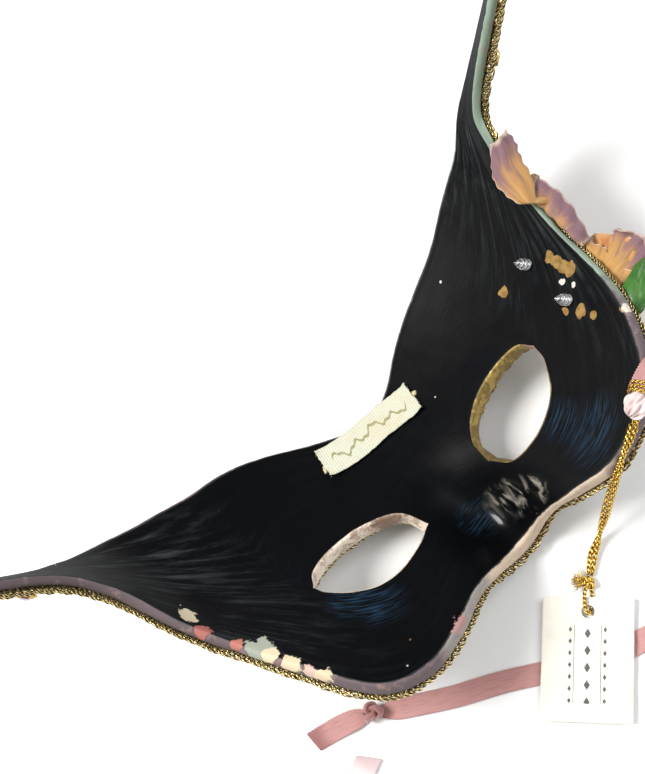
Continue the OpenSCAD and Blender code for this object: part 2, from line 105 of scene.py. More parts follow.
def turned(x: Array, y: Array, degrees: float, z: Array) -> Array:
    """Places (x, y, z) turned about Z by an angle."""
    c, s = math.cos(math.radians(degrees)), math.sin(math.radians(degrees))
    return np.stack(np.broadcast_arrays(x * c - y * s, x * s + y * c, z), axis=-1)


def beyond(p: Array) -> tuple[Array, Array]:
    """Points that carry a row straight on, before its first point and after its last."""
    return 2 * p[:1] - p[1:2], 2 * p[-1:] - p[-2:-1]


def spline(points: Array, u: Array, before: Array, after: Array) -> Array:
    """Catmull-Rom curve: the cubic through four neighbours, at a parameter that counts points.

    Args:
        points: Points to pass through, one row each.
        u: Parameters from 0 to the number of points less one.
        before: Point used before the first.
        after: Point used after the last.

    Returns:
        One row for each parameter.
    """
    p = np.vstack([before, points, after])
    i = np.clip(np.floor(u).astype(int), 0, len(points) - 2)
    t = (u - i)[:, None]
    a, b, c, d = p[i], p[i + 1], p[i + 2], p[i + 3]
    return 0.5 * (2 * b + (c - a) * t + (2 * a - 5 * b + 4 * c - d) * t ** 2
                  + (3 * b - a - 3 * c + d) * t ** 3)


def route_spline(points: Array, per_step: int) -> Array:
    """Rounds off a route: a Catmull-Rom curve with the end points repeated.

    Args:
        points: The route's points.
        per_step: Rows between two points.

    Returns:
        Rows along the smooth route.
    """
    u = np.linspace(0, len(points) - 1, (len(points) - 1) * per_step + 1)
    return spline(points, u, points[:1], points[-1:])


def arc_lengths(path: Array) -> Array:
    """Distance along a path at each of its points."""
    steps = np.linalg.norm(np.diff(path[:, :3], axis=0), axis=1)
    return np.concatenate([[0.0], np.cumsum(steps)])


def resample(path: Array, step: float) -> Array:
    """Spaces a path's rows evenly by linear interpolation along its length.

    Args:
        path: Rows whose first three columns are a place.
        step: Distance between the new rows.

    Returns:
        The evenly spaced rows.
    """
    s = arc_lengths(path)
    at = np.linspace(0, s[-1], max(int(round(s[-1] / step)), 3) + 1)
    return np.stack([np.interp(at, s, path[:, k]) for k in range(path.shape[1])], axis=1)


def ripple(x: Array, y: Array, size: float, seed: float = 0.0) -> Array:
    """Soft hand-made unevenness: a sum of five crossed sine waves, from -1 to 1.

    Args:
        x: First coordinate.
        y: Second coordinate.
        size: Rough distance between bumps.
        seed: Phase that sets one pattern apart from another.

    Returns:
        The unevenness at each place.
    """
    waves = ((0.3, 1.0), (1.4, 1.3), (2.2, 0.8), (2.9, 1.7), (0.9, 2.3))
    total = np.zeros(np.broadcast(x, y).shape)
    for k, (angle, grow) in enumerate(waves):
        across = x * np.cos(angle) + y * np.sin(angle)
        total = total + np.sin(2 * np.pi * grow / size * across + seed + 2.1 * k) / grow
    return total / 3.6


# ---------------------------------------------------------------- meshes

def grid_faces(rows: int, cols: int, wrap_rows: bool = False, wrap_cols: bool = False) -> Array:
    """Quads of a grid of points listed row by row.

    Args:
        rows: Number of rows.
        cols: Number of columns.
        wrap_rows: Whether the last row joins the first.
        wrap_cols: Whether the last column joins the first.

    Returns:
        Four vertex numbers for each quad.
    """
    r = np.arange(rows if wrap_rows else rows - 1)[:, None]
    c = np.arange(cols if wrap_cols else cols - 1)[None, :]
    r2, c2 = (r + 1) % rows, (c + 1) % cols
    quads = np.stack([r * cols + c, r * cols + c2, r2 * cols + c2, r2 * cols + c], axis=-1)
    return quads.reshape(-1, 4)


class Draft:
    """Collects grids of points and their faces until they become one object."""

    def __init__(self) -> None:
        """Starts with nothing."""
        self.points: list[Array] = []
        self.faces: list[Array] = []
        self.uvs: list[Array] = []
        self.slots: list[Array] = []
        self.tones: list[Array] = []
        self.count = 0

    def add(self, points: Array, faces: Array, uv: Array | None = None, slot: int = 0,
            tone: Array | float = 0.0) -> None:
        """Adds a patch.

        Args:
            points: Places in design millimetres.
            faces: Quads that number those places.
            uv: Pattern coordinates, one pair for each place.
            slot: Material slot of the patch.
            tone: A value for each place, which a material may read.
        """
        flat = points.reshape(-1, 3)
        self.points.append(flat)
        self.faces.append(faces + self.count)
        self.uvs.append(np.zeros((len(flat), 2)) if uv is None else uv.reshape(-1, 2))
        self.slots.append(np.full(len(faces), slot))
        self.tones.append(np.broadcast_to(np.asarray(tone, float), (len(flat),)))
        self.count += len(flat)

    def build(self, name: str, materials: Sequence[Material], merge: float = 0.0,
              smooth_faces: bool = True) -> Thing:
        """Makes the object, in metres in the shared frame.

        Args:
            name: Name of the object.
            materials: Its material slots in order.
            merge: Distance in millimetres under which points become one; 0 leaves them.
            smooth_faces: Whether the faces are shaded smoothly.

        Returns:
            The linked object.
        """
        points = np.concatenate(self.points)
        faces = np.concatenate(self.faces)
        uvs = np.concatenate(self.uvs)
        place = (points - np.array([0.0, SEAT_Y, 0.0])) * MM
        mesh = bpy.data.meshes.new(name)
        mesh.vertices.add(len(place))
        mesh.vertices.foreach_set("co", place.astype(np.float32).ravel())
        mesh.loops.add(faces.size)
        mesh.loops.foreach_set("vertex_index", faces.astype(np.int32).ravel())
        mesh.polygons.add(len(faces))
        mesh.polygons.foreach_set("loop_start", np.arange(0, faces.size, 4, dtype=np.int32))
        mesh.polygons.foreach_set("material_index", np.concatenate(self.slots).astype(np.int32))
        layer = mesh.uv_layers.new(name="pattern")
        layer.data.foreach_set("uv", uvs[faces.ravel()].astype(np.float32).ravel())
        tone = mesh.attributes.new("tone", "FLOAT", "POINT")
        tone.data.foreach_set("value", np.concatenate(self.tones).astype(np.float32))
        mesh.update()
        mesh.validate()
        form = bmesh.new()
        form.from_mesh(mesh)
        if merge > 0:
            bmesh.ops.remove_doubles(form, verts=form.verts, dist=merge * MM)
        bmesh.ops.recalc_face_normals(form, faces=form.faces)
        form.to_mesh(mesh)
        form.free()
        mesh.polygons.foreach_set("use_smooth", np.full(len(mesh.polygons), smooth_faces))
        for material in materials:
            mesh.materials.append(material)
        thing = bpy.data.objects.new(name, mesh)
        bpy.context.scene.collection.objects.link(thing)
        return thing


def frames(path: Array, normals: Array, closed: bool = False) -> tuple[Array, Array, Array]:
    """Tangent, side and normal along a path: side is tangent cross the given normal.

    Args:
        path: Points along the path.
        normals: A rough normal, or one for each point.
        closed: Whether the path is a ring.

    Returns:
        Unit tangents, sides and normals.
    """
    if closed:
        step = np.roll(path, -1, axis=0) - np.roll(path, 1, axis=0)
    else:
        step = np.gradient(path, axis=0)
    tangent = unit(step)
    side = unit(np.cross(tangent, normals))
    return tangent, side, np.cross(side, tangent)


def tube(draft: Draft, path: Array, normals: Array, radius: Array | float, sides: int = 8,
         closed: bool = False, slot: int = 0, tone: float = 0.0) -> None:
    """Adds a round tube: rings of points at the radius round each place of a path.

    Args:
        draft: Where the tube is added.
        path: Points along it.
        normals: A rough normal, or one for each point.
        radius: Radius, or one for each point.
        sides: Points in a ring.
        closed: Whether the path is a ring.
        slot: Material slot.
        tone: Value that the material may read.
    """
    _, side, normal = frames(path, normals, closed)
    r = np.broadcast_to(np.asarray(radius, float), (len(path),))[:, None, None]
    if not closed:
        ends = np.ones(len(path) + 2)
        ends[[0, -1]] = 0.0
        path = np.vstack([path[:1], path, path[-1:]])
        side = np.vstack([side[:1], side, side[-1:]])
        normal = np.vstack([normal[:1], normal, normal[-1:]])
        r = np.concatenate([r[:1], r, r[-1:]]) * np.maximum(ends, 0.02)[:, None, None]
    a = turns(sides)[None, :, None]
    rings = path[:, None] + r * (np.cos(a) * side[:, None] + np.sin(a) * normal[:, None])
    uv = pair(np.arange(len(path))[:, None], np.arange(sides)[None] / sides)
    draft.add(rings, grid_faces(len(path), sides, wrap_rows=closed, wrap_cols=True), uv, slot, tone)
    if not closed:
        first = draft.count - len(path) * sides
        cap = first + np.array([[0, k, k + 1, k + 2] for k in range(1, sides - 2, 2)])
        last = draft.count - sides
        draft.faces.append(np.concatenate([cap, cap - first + last]))
        draft.slots.append(np.full(2 * len(cap), slot))


def slab(draft: Draft, top: Array, thickness: float, uv: Array, slot: int = 0,
         tone: Array | float = 0.0) -> None:
    """Adds a closed sheet: a grid, its copy moved along the grid's normals, and four edges.

    Args:
        draft: Where the sheet is added.
        top: Grid of places, rows by columns by 3.
        thickness: Distance to the copy, against the grid's normals.
        uv: Grid of pattern coordinates.
        slot: Material slot.
        tone: Value or grid of values that the material may read.
    """
    rows, cols = top.shape[:2]
    normal = unit(np.cross(np.gradient(top, axis=1), np.gradient(top, axis=0)))
    both = np.stack([top, top - thickness * normal])
    faces = grid_faces(rows, cols)
    n = rows * cols
    ring = np.concatenate([np.arange(cols), cols * np.arange(2, rows + 1) - 1,
                           np.arange(n - 2, n - cols - 1, -1), cols * np.arange(rows - 2, 0, -1)])
    after = np.roll(ring, -1)
    rim = np.stack([ring, after, after + n, ring + n], axis=-1)
    tones = np.broadcast_to(np.asarray(tone, float), (rows, cols))
    draft.add(both, np.concatenate([faces[:, ::-1], faces + n, rim]), np.stack([uv, uv]), slot,
              np.stack([tones, tones]).ravel())


# ---------------------------------------------------------------- shader maths

class Wire:
    """A value or colour socket of a material, with the arithmetic that the finishes use."""

    def __init__(self, graph: "Graph", socket: bpy.types.NodeSocket) -> None:
        """Keeps the socket and its graph."""
        self.graph = graph
        self.socket = socket

    def _math(self, operation: str, *values: "Wire | float") -> "Wire":
        """Adds one Math node."""
        return self.graph.node("ShaderNodeMath", {"operation": operation}, dict(enumerate(values)))

    def __add__(self, other: "Wire | float") -> "Wire":
        """Sum."""
        return self._math("ADD", self, other)

    __radd__ = __add__

    def __mul__(self, other: "Wire | float") -> "Wire":
        """Product."""
        return self._math("MULTIPLY", self, other)

    __rmul__ = __mul__

    def __sub__(self, other: "Wire | float") -> "Wire":
        """Difference."""
        return self._math("SUBTRACT", self, other)

    def __rsub__(self, other: "Wire | float") -> "Wire":
        """Difference, reflected."""
        return self._math("SUBTRACT", other, self)

    def most(self, other: "Wire | float") -> "Wire":
        """The larger of two values."""
        return self._math("MAXIMUM", self, other)

    def least(self, other: "Wire | float") -> "Wire":
        """The smaller of two values."""
        return self._math("MINIMUM", self, other)

    def sine(self) -> "Wire":
        """Sine of the value."""
        return self._math("SINE", self)

    def wave(self, turns_per_unit: float = 1.0) -> "Wire":
        """Sine from 0 to 1 that makes so many turns in a unit of the value."""
        return (self * (2 * math.pi * turns_per_unit)).sine() * 0.5 + 0.5

    def size(self) -> "Wire":
        """Absolute value."""
        return self._math("ABSOLUTE", self)

    def wrap(self) -> "Wire":
        """Fractional part."""
        return self._math("FRACT", self)

    def step(self, low: float, high: float) -> "Wire":
        """Smooth rise from 0 at low to 1 at high; low may be the larger."""
        sign = 1.0 if high > low else -1.0
        return self.graph.node("ShaderNodeMapRange", {"interpolation_type": "SMOOTHSTEP"},
                               {"Value": self * sign, "From Min": low * sign, "From Max": high * sign})


class Graph:
    """One material's nodes."""

    def __init__(self, name: str) -> None:
        """Starts a material with a Principled shader.

        Args:
            name: Name of the material.
        """
        self.material = bpy.data.materials.new(name)
        self.material.use_nodes = True
        self.tree = self.material.node_tree
        self.shader = self.tree.nodes["Principled BSDF"]

    def node(self, kind: str, settings: dict | None = None, inputs: dict | None = None,
             output: int | str = 0) -> Wire:
        """Adds a node.

        Args:
            kind: Type of the node.
            settings: Properties, which are set first.
            inputs: Values or wires by input name or number.
            output: Output to return.

        Returns:
            The wire of that output.
        """
        made = self.tree.nodes.new(kind)
        for key, value in (settings or {}).items():
            setattr(made, key, value)
        for key, value in (inputs or {}).items():
            self.plug(made.inputs[key], value)
        return Wire(self, made.outputs[output])

    def plug(self, socket: bpy.types.NodeSocket, value: "Wire | float | tuple") -> None:
        """Links or sets one input."""
        if isinstance(value, Wire):
            self.tree.links.new(value.socket, socket)
        elif isinstance(value, tuple) and len(value) == 3 and socket.type == "RGBA":
            socket.default_value = (*value, 1.0)
        else:
            socket.default_value = value

    def place(self) -> Wire:
        """Object coordinates, in metres."""
        return self.node("ShaderNodeTexCoord", output="Object")

    def pattern(self) -> Wire:
        """The piece's own pattern coordinates."""
        return self.node("ShaderNodeUVMap", {"uv_map": "pattern"})

    def tone(self) -> Wire:
        """The value stored on the mesh."""
        return self.node("ShaderNodeAttribute", {"attribute_name": "tone"}, output="Fac")

    def parts(self, vector: Wire) -> list[Wire]:
        """The three components of a vector."""
        split = self.node("ShaderNodeSeparateXYZ", None, {0: vector}).socket.node
        return [Wire(self, split.outputs[k]) for k in range(3)]

    def stretch(self, vector: Wire, scale: tuple, turn: float = 0.0) -> Wire:
        """Scales a vector, and turns it about Z."""
        return self.node("ShaderNodeMapping", None, {"Vector": vector, "Scale": scale,
                                                     "Rotation": (0.0, 0.0, turn)})

    def noise(self, vector: Wire, scale: float, detail: float = 3.0, rough: float = 0.5,
              swirl: float = 0.0) -> Wire:
        """Cloudy noise around 0.5."""
        return self.node("ShaderNodeTexNoise", None, {"Vector": vector, "Scale": scale,
                         "Detail": detail, "Roughness": rough, "Distortion": swirl}, "Fac")

    def grain(self, scale: float, detail: float = 3.0, rough: float = 0.5, swirl: float = 0.0) -> Wire:
        """Noise over the piece's place."""
        return self.noise(self.place(), scale, detail, rough, swirl)

    def brushed(self, along: float, across: float, detail: float = 4.0, rough: float = 0.6,
                swirl: float = 0.0) -> Wire:
        """Noise drawn out by its own scales along and across the pattern."""
        return self.noise(self.stretch(self.pattern(), (along, across, 1)), 1.0, detail, rough, swirl)

    def cells(self, vector: Wire, scale: float, feature: str = "F1", output: str = "Distance") -> Wire:
        """Cell pattern."""
        return self.node("ShaderNodeTexVoronoi", {"feature": feature},
                         {"Vector": vector, "Scale": scale}, output)

    def blend(self, a: "Wire | Colour", b: "Wire | Colour", factor: "Wire | float") -> Wire:
        """Colour a, turned into b by the factor."""
        made = self.tree.nodes.new("ShaderNodeMix")
        made.data_type = "RGBA"
        self.plug(made.inputs[0], factor)
        self.plug(made.inputs[6], a)
        self.plug(made.inputs[7], b)
        return Wire(self, made.outputs[2])

    def near(self, point: Sequence[float], vector: Wire | None = None) -> Wire:
        """Distance in metres from a point of the shared frame."""
        return self.node("ShaderNodeVectorMath", {"operation": "DISTANCE"},
                         {0: vector or self.place(), 1: tuple(point)}, "Value")

    def daubs(self, flecks: "Sequence[Fleck]", rag: Wire, fray: float, band: tuple) -> Wire:
        """Mask of ragged spots.

        The distance from a spot's middle, as a share of its reach, is frayed by noise and stepped.

        Args:
            flecks: The spots.
            rag: Noise that frays them.
            fray: Strength of that noise.
            band: Shares of the reach at which the mask is 0 and 1.

        Returns:
            The largest of the spots' masks.
        """
        wander = (rag - 0.5) * fray
        mask = None
        for fleck in flecks:
            here = (self.near(fleck.spot()) * (1.0 / (fleck.reach * MM)) + wander).step(*band)
            mask = here if mask is None else mask.most(here)
        return mask

    def knocked(self, colour: Wire, rag: Wire) -> tuple[Wire, Wire]:
        """Shows the rim's knocked patches: the colour with them, and the mask of them all."""
        for fleck in KNOCKS:
            colour = self.blend(colour, fleck.shade, self.daubs([fleck], rag, 1.9, (0.86, 0.72)))
        return colour, self.daubs(KNOCKS, rag, 1.9, (0.86, 0.72))

    def relief(self, height: Wire, depth: float, strength: float = 1.0) -> Wire:
        """Bump normals from a height of 0 to 1 that stands for a depth in metres."""
        return self.node("ShaderNodeBump", None, {"Height": height, "Distance": depth,
                                                  "Strength": strength}, "Normal")

    def finish(self, **inputs: "Wire | float | Colour") -> Material:
        """Sets the shader's inputs.

        Args:
            inputs: Values or wires, by input name with underscores for spaces.

        Returns:
            The material.
        """
        for key, value in inputs.items():
            self.plug(self.shader.inputs[key.replace("_", " ")], value)
        return self.material


# ---------------------------------------------------------------- the shell's form

@dataclass(frozen=True)
class Seat:
    """Where a piece stands: its origin, and its local axes as a matrix's columns."""
    origin: Array
    axes: Array

    def put(self, local: Array) -> Array:
        """Local places to design millimetres."""
        return self.origin + local @ self.axes.T


@dataclass(frozen=True)
class Form:
    """The moulded shell's shape, as formulas of a place in plan.

    The inside height is the sum of a sweep that grows with the distance from the middle, a slope
    from forehead to cheeks, a curl of the forehead, a nose hollow and a twist of the wings.
    """
    shell_t: float = 5.5
    wing_thin: float = 2.3
    bridge_z: float = 16.86
    nose_depth: float = 19.0
    nose_half_w: float = 13.0
    face_slope: float = 0.30
    brow_curl: float = 0.004
    wing_rise: float = 0.95
    wing_twist: float = 1.7
    eye_x: float = 32.2
    eye_y: float = -1.8
    upper_edge: tuple = (
        ((0, 37.8), (10, 40.4), (20, 45.9), (30, 50.7), (42, 54.1), (55, 56.9), (69, 61.2), (82, 64.2),
         (93, 68.6), (105, 68.3), (126, 63.5)),
        ((0, 37.8), (10, 42), (21, 49), (33, 57.2), (46, 62.3), (60, 63.2), (73, 64.2), (88, 64.7),
         (98, 61.7), (107, 58.6), (126, 57.5)))
    lower_edge: tuple = (
        ((0, -31), (9.5, -33), (20, -38.8), (33.5, -44), (46, -43), (58.5, -37.3), (73, -16), (80.5, 18.7),
         (88, 49.4), (97, 61.8), (124, 57.5)),
        ((0, -31), (9.5, -33.2), (20, -36), (32, -40.6), (46, -43.3), (59.5, -37), (72.4, -13),
         (84.6, 17.3), (92.2, 42.3), (102, 53), (124, 50.5)))
    eye_upper: tuple = (
        ((49.6, 3), (46, 8), (38, 10.2), (28.5, 9.6), (19.5, 5.6), (14, -1), (13.2, -7)),
        ((52.8, 5), (48.5, 9.4), (41, 11.4), (32, 10.8), (23.5, 7.5), (17.3, 2.6), (14, -6)))
    eye_lower: tuple = (
        ((49.6, 3), (46.9, -3.6), (41, -11.2), (33, -15.2), (24.5, -16.3), (17.5, -14.2), (13.2, -7)),
        ((52.8, 5), (50.3, 0.6), (45.5, -5), (38.8, -9.8), (31, -11.2), (22.4, -9.6), (14, -6)))
    eye_u: tuple = (2.0, 5.0)
    last_u: float = 10.0

    def height(self, x: Array, y: Array) -> Array:
        """Height of the inside face at a place in plan.

        Args:
            x: Distance to the wearer's right.
            y: Distance towards the forehead.

        Returns:
            The height above the resting plane.
        """
        ax = np.abs(x)
        near, far = np.minimum(ax, 100), np.maximum(ax - 100, 0)
        sweep = 0.00179 * near ** 2.2 + self.wing_rise * far
        nose = (self.nose_depth * np.exp(-(x / self.nose_half_w) ** 2) / (1 + np.exp((y + 6) / 6))
                * (1 - 0.16 * smooth((-y - 20) / 12)))
        twist = self.wing_twist * smooth((ax - 80) / 38) * (y - 64 - 0.2 * (ax - 60))
        return (self.bridge_z + sweep - self.face_slope * y
                + self.brow_curl * np.maximum(y - 15, 0) ** 2 - nose - twist)

    def wall(self, x: Array) -> Array:
        """Wall thickness, which falls off towards the wings."""
        return self.shell_t - self.wing_thin * smooth((np.abs(x) - 45) / 40)

    def inward(self, q: Array) -> Array:
        """Unit normals of the inside face, by central differences of the height."""
        d = 0.05
        x, y = q[..., 0], q[..., 1]
        fall_x = self.height(x - d, y) - self.height(x + d, y)
        fall_y = self.height(x, y - d) - self.height(x, y + d)
        return unit(np.stack([fall_x, fall_y, np.full(x.shape, 2 * d)], axis=-1))

    def below(self, q: Array, depth: Array | float) -> Array:
        """Points at a depth under the inside face, towards the front."""
        z = self.height(q[..., 0], q[..., 1])[..., None]
        face = np.concatenate([q[..., :2], z], axis=-1)
        return face - np.asarray(depth)[..., None] * self.inward(q)

    def halves(self, pair: Sequence, u: Array, before: Callable) -> Array:
        """Joins the right outline (u at or above 0) and the mirrored left one (u below 0).

        Args:
            pair: The right outline's points and the left one's, both drawn to the right.
            u: Parameters that count points from the first.
            before: Makes the point used before the first.

        Returns:
            Places in plan.
        """
        sides = []
        for points in pair:
            p = np.array(points, float)
            sides.append(spline(p, np.clip(np.abs(u), 0, len(p) - 1), before(p), beyond(p)[1]))
        left = (u < 0)[:, None]
        return np.where(left, sides[1] * [-1, 1], sides[0])

    def edge(self, pair: Sequence, u: Array) -> Array:
        """A whole outline, level in the middle of the mask."""
        return self.halves(pair, u, lambda p: p[1:2] * [-1, 1])

    def eye_point(self, u: Array, side: int, f: Array) -> Array:
        """An eye hole's upper (1) or lower (-1) outline, from its outer corner to its inner one.

        Args:
            u: Any parameters whose sign tells right from left.
            side: 1 for the upper outline, -1 for the lower.
            f: Share of the way along it.

        Returns:
            Places in plan.
        """
        pair = self.eye_upper if side == 1 else self.eye_lower
        count = len(pair[0]) - 1
        signed = np.where(u < 0, -1.0, 1.0) * np.maximum(f * count, 1e-9)
        return self.halves(pair, signed, lambda p: beyond(p)[0])

    def mid_line(self, u: Array, side: int) -> Array:
        """The line along the middle of the mask, which parts round each eye hole.

        Args:
            u: Outline parameters, negative on the left.
            side: 1 for the upper branch round an eye, -1 for the lower.

        Returns:
            Places in plan.
        """
        v = np.abs(u)
        first, last = self.eye_u
        corner_in = self.eye_point(u, 1, np.ones(len(u)))
        corner_out = self.eye_point(u, 1, np.zeros(len(u)))
        inner = pair(corner_in[:, 0] * v / first, 1 + (corner_in[:, 1] - 1) * (v / first) ** 2)
        eye = self.eye_point(u, side, np.clip((last - v) / (last - first), 0, 1))
        middle = (self.edge(self.lower_edge, u) + self.edge(self.upper_edge, u)) / 2
        w = smooth((v - last) / 2)[:, None]
        outer = corner_out * (1 - w) + middle * w
        past_inner = np.where((v <= last)[:, None], eye, outer)
        return np.where((v < first)[:, None], inner, past_inner)

    def inset(self, pair: Sequence, u: Array, distance: Array | float) -> Array:
        """Places set in from an outline towards the middle line, by a distance."""
        q, m = self.edge(pair, u), self.mid_line(u, 1)
        share = np.minimum(distance / np.linalg.norm(m - q, axis=1), 0.5)
        return q + (m - q) * share[:, None]

    def seat(self, x: float, y: float, lift: float) -> Seat:
        """Seat of a piece that stands on the front face.

        The axes are the frame's, tilted to the face and turned half round +X, so that local
        +Z points away from the wearer.

        Args:
            x: Place in plan.
            y: Place in plan.
            lift: Clearance over the front face.

        Returns:
            The seat.
        """
        q = np.array([[x, y]], float)
        n = self.inward(q)[0]
        lean, nod = math.atan2(n[0], n[2]), -math.asin(n[1])
        tilt = Matrix.Rotation(lean, 3, "Y") @ Matrix.Rotation(nod, 3, "X")
        origin = self.below(q, self.wall(q[:, 0]) + lift)[0]
        return Seat(origin, np.array(tilt @ Matrix.Rotation(math.pi, 3, "X")))


FORM = Form()
DOWN = np.diag([1.0, -1.0, -1.0])
LEVEL = (0.0, 0.0, 1.0)         # a normal for pieces that lie flat
SKEW = (0.13, 0.21, 1.0)          # a normal that no thread runs along


# ---------------------------------------------------------------- finishes

SMEAR = (0.012, 0.013, 0.015)   # black of the inside where it runs over an edge


@dataclass(frozen=True)
class Fleck:
    """A spot of a finish: its middle in design millimetres, its reach, and its colour if any."""
    x: float
    y: float
    z: float
    reach: float
    shade: Colour = SMEAR

    def spot(self) -> tuple[float, float, float]:
        """The spot's middle in the shared frame, in metres."""
        return self.x * MM, (self.y - SEAT_Y) * MM, self.z * MM


KNOCKS = (                      # patches of the rim that were knocked down to older coats
    Fleck(-83.9, 23.0, 43.0, 4.2, (0.62, 0.53, 0.38)), Fleck(-83.4, 15.4, 44.5, 3.4, (0.43, 0.15, 0.12)),
    Fleck(-79.9, 4.7, 42.9, 3.0, (0.45, 0.17, 0.13)), Fleck(-76.4, -1.5, 42.2, 5.6, (0.33, 0.36, 0.30)),
    Fleck(-74.9, -5.5, 42.6, 3.6, (0.70, 0.58, 0.40)), Fleck(-73.2, -12.5, 43.4, 5.6, (0.68, 0.56, 0.38)),
    Fleck(-71.0, -18.5, 43.8, 4.0, (0.60, 0.44, 0.36)), Fleck(-69.3, -23.6, 44.0, 5.0, (0.66, 0.54, 0.37)),
    Fleck(71.8, -19.4, 43.6, 2.2, (0.66, 0.60, 0.50)), Fleck(-30.0, -41.5, 33.0, 5.0, (0.40, 0.22, 0.20)))


@dataclass(frozen=True)
class BrushedLacquer:
    """Glossy black lacquer of the inside: brush streaks that fan out into the wings, grey scuffs,
    blue strokes near the eyes, a crinkle in the nose hollow with painted highlights on its ridges,
    and chips down to the ground.
    """
    black: Colour = (0.0012, 0.0015, 0.0022)
    worn: Colour = (0.044, 0.051, 0.053)
    navy: Colour = (0.010, 0.030, 0.058)
    ground: Colour = (0.225, 0.125, 0.036)
    ground_light: Colour = (0.33, 0.21, 0.075)
    plaster: Colour = (0.62, 0.60, 0.55)
    dust: Colour = (0.55, 0.54, 0.50)
    chips: tuple = (
        Fleck(73.4, 14.4, 35.3, 3.2), Fleck(73.3, 11.2, 36.2, 3.8), Fleck(73.2, 8.2, 37.0, 3.9),
        Fleck(72.9, 5.4, 37.7, 3.6), Fleck(57.7, 23.7, 23.5, 3.2), Fleck(62.6, -0.7, 33.1, 2.5),
        Fleck(64.7, -6.0, 35.9, 3.0), Fleck(65.6, -10.4, 37.8, 2.2), Fleck(71.2, -18.5, 43.7, 2.2))
    drips: tuple = (Fleck(69.1, 5.6, 35.1, 1.7), Fleck(70.1, 0.8, 37.2, 1.9), Fleck(49.7, 47.0, 16.5, 1.0))
    # middles of the crinkle in the nose hollow, whose ridges carry painted highlights
    ridges: tuple = (Fleck(6, -18, 9.5, 8.5), Fleck(11, -21.5, 15, 8.5), Fleck(15, -27, 21.3, 6.5))
    navy_spots: tuple = (
        Fleck(35.7, -33.3, 31.5, 11.0), Fleck(43.2, -31.1, 34.0, 9.0), Fleck(-47.7, -7.5, 27.9, 10.0),
        Fleck(-42.7, -16.2, 27.0, 11.0), Fleck(35.6, -20.6, 27.7, 9.0), Fleck(-3.0, -14.0, 7.6, 9.0))

    def strokes(self, g: Graph, streak: Wire) -> Wire:
        """Colour of the lacquer itself: black, worn along the streaks, with the navy strokes."""
        tint = g.blend(self.black, self.worn, streak.least(1.0))
        bristle = g.brushed(0.12, 2.2, 4.0, 0.6, 0.4).step(0.46, 0.62)
        for spot in self.navy_spots:
            glow = g.near(spot.spot()).step(spot.reach * MM, spot.reach * 0.2 * MM)
            tint = g.blend(tint, self.navy, glow * bristle)
        return tint

    def make(self) -> Material:
        """Builds the material: streaks, strokes, chips, drips, knocks and the crinkle with its painted
        highlights, in turn.
        """
        g = Graph("black_lacquer")
        place, wing = g.place(), g.tone()
        broad = g.brushed(0.05, 0.55, 5.0, 0.62, 0.35)
        fine = g.brushed(0.35, 4.2, 4.0, 0.6, 0.15)
        cloud = g.grain(42.0, 3.0, 0.55)
        streak = (broad * 0.72 + fine * 0.28).step(0.46, 0.68) * (wing * 1.2 + 0.03) * cloud.step(0.32, 0.60)
        hair = g.brushed(0.6, 14.0, 2.0, 0.5).step(0.60, 0.78) * (0.05 + wing * 0.35)
        ragged = g.grain(210.0, 3.0, 0.5)
        pin = g.cells(place, 95.0).step(0.055, 0.035) * g.grain(30.0).step(0.58, 0.62)
        speck = g.cells(place, 84.0).step(0.034, 0.020)
        chip = g.daubs(self.chips, ragged, 1.5, (0.62, 0.56)).most(pin * 0.8)
        ground = g.blend(self.ground, self.ground_light, g.grain(500.0, 3.0).step(0.35, 0.65))
        colour = g.blend(self.strokes(g, streak + hair), ground, chip)
        drip = g.daubs(self.drips, ragged, 3.4, (0.62, 0.5))
        colour = g.blend(colour, self.plaster, drip * (1.0 - chip))
        colour = g.blend(colour, self.dust, speck * 0.8)
        colour, bare = g.knocked(colour, g.grain(260.0, 4.0, 0.62))
        chip = chip.most(bare)
        hollow = g.daubs(self.ridges, cloud, 0.8, (1.0, 0.45))
        crumple = g.noise(g.stretch(place, (1.0, 0.45, 0.8), 0.75), 330.0, 3.0, 0.55, 0.7)
        # painted highlight: light grey-brown colour on the crinkle's ridges in the nose hollow, in place of the
        # gloss's reflections
        painted_highlight = g.blend((0.016, 0.016, 0.015), (0.36, 0.32, 0.27), crumple.step(0.46, 0.72))
        colour = g.blend(colour, painted_highlight, hollow * crumple.step(0.42, 0.58) * 0.85)
        rough = 0.40 + broad * 0.12 + streak * 0.2 + chip * 0.35 - hollow * 0.24
        marks = g.brushed(0.22, 1.6, 3.0, 0.5, 0.2) * 0.55 + fine * 0.25 + hair * 0.3
        lumps = g.grain(160.0, 2.0) * 0.4 + drip * 0.8 + crumple.step(0.42, 0.66) * hollow * 1.5
        return g.finish(Base_Color=colour, Roughness=rough, Specular_IOR_Level=0.07,
                        Normal=g.relief(marks + lumps - chip * 0.9, 0.00022, 0.55),
                        Coat_Weight=hollow * 0.8, Coat_Roughness=0.14)


class Zone(Enum):
    """Painted zones of the rim, by their colour."""
    SAGE = (0.285, 0.375, 0.300)
    MAUVE = (0.130, 0.098, 0.105)
    CREAM = (0.62, 0.50, 0.38)
    GREY = (0.30, 0.275, 0.255)


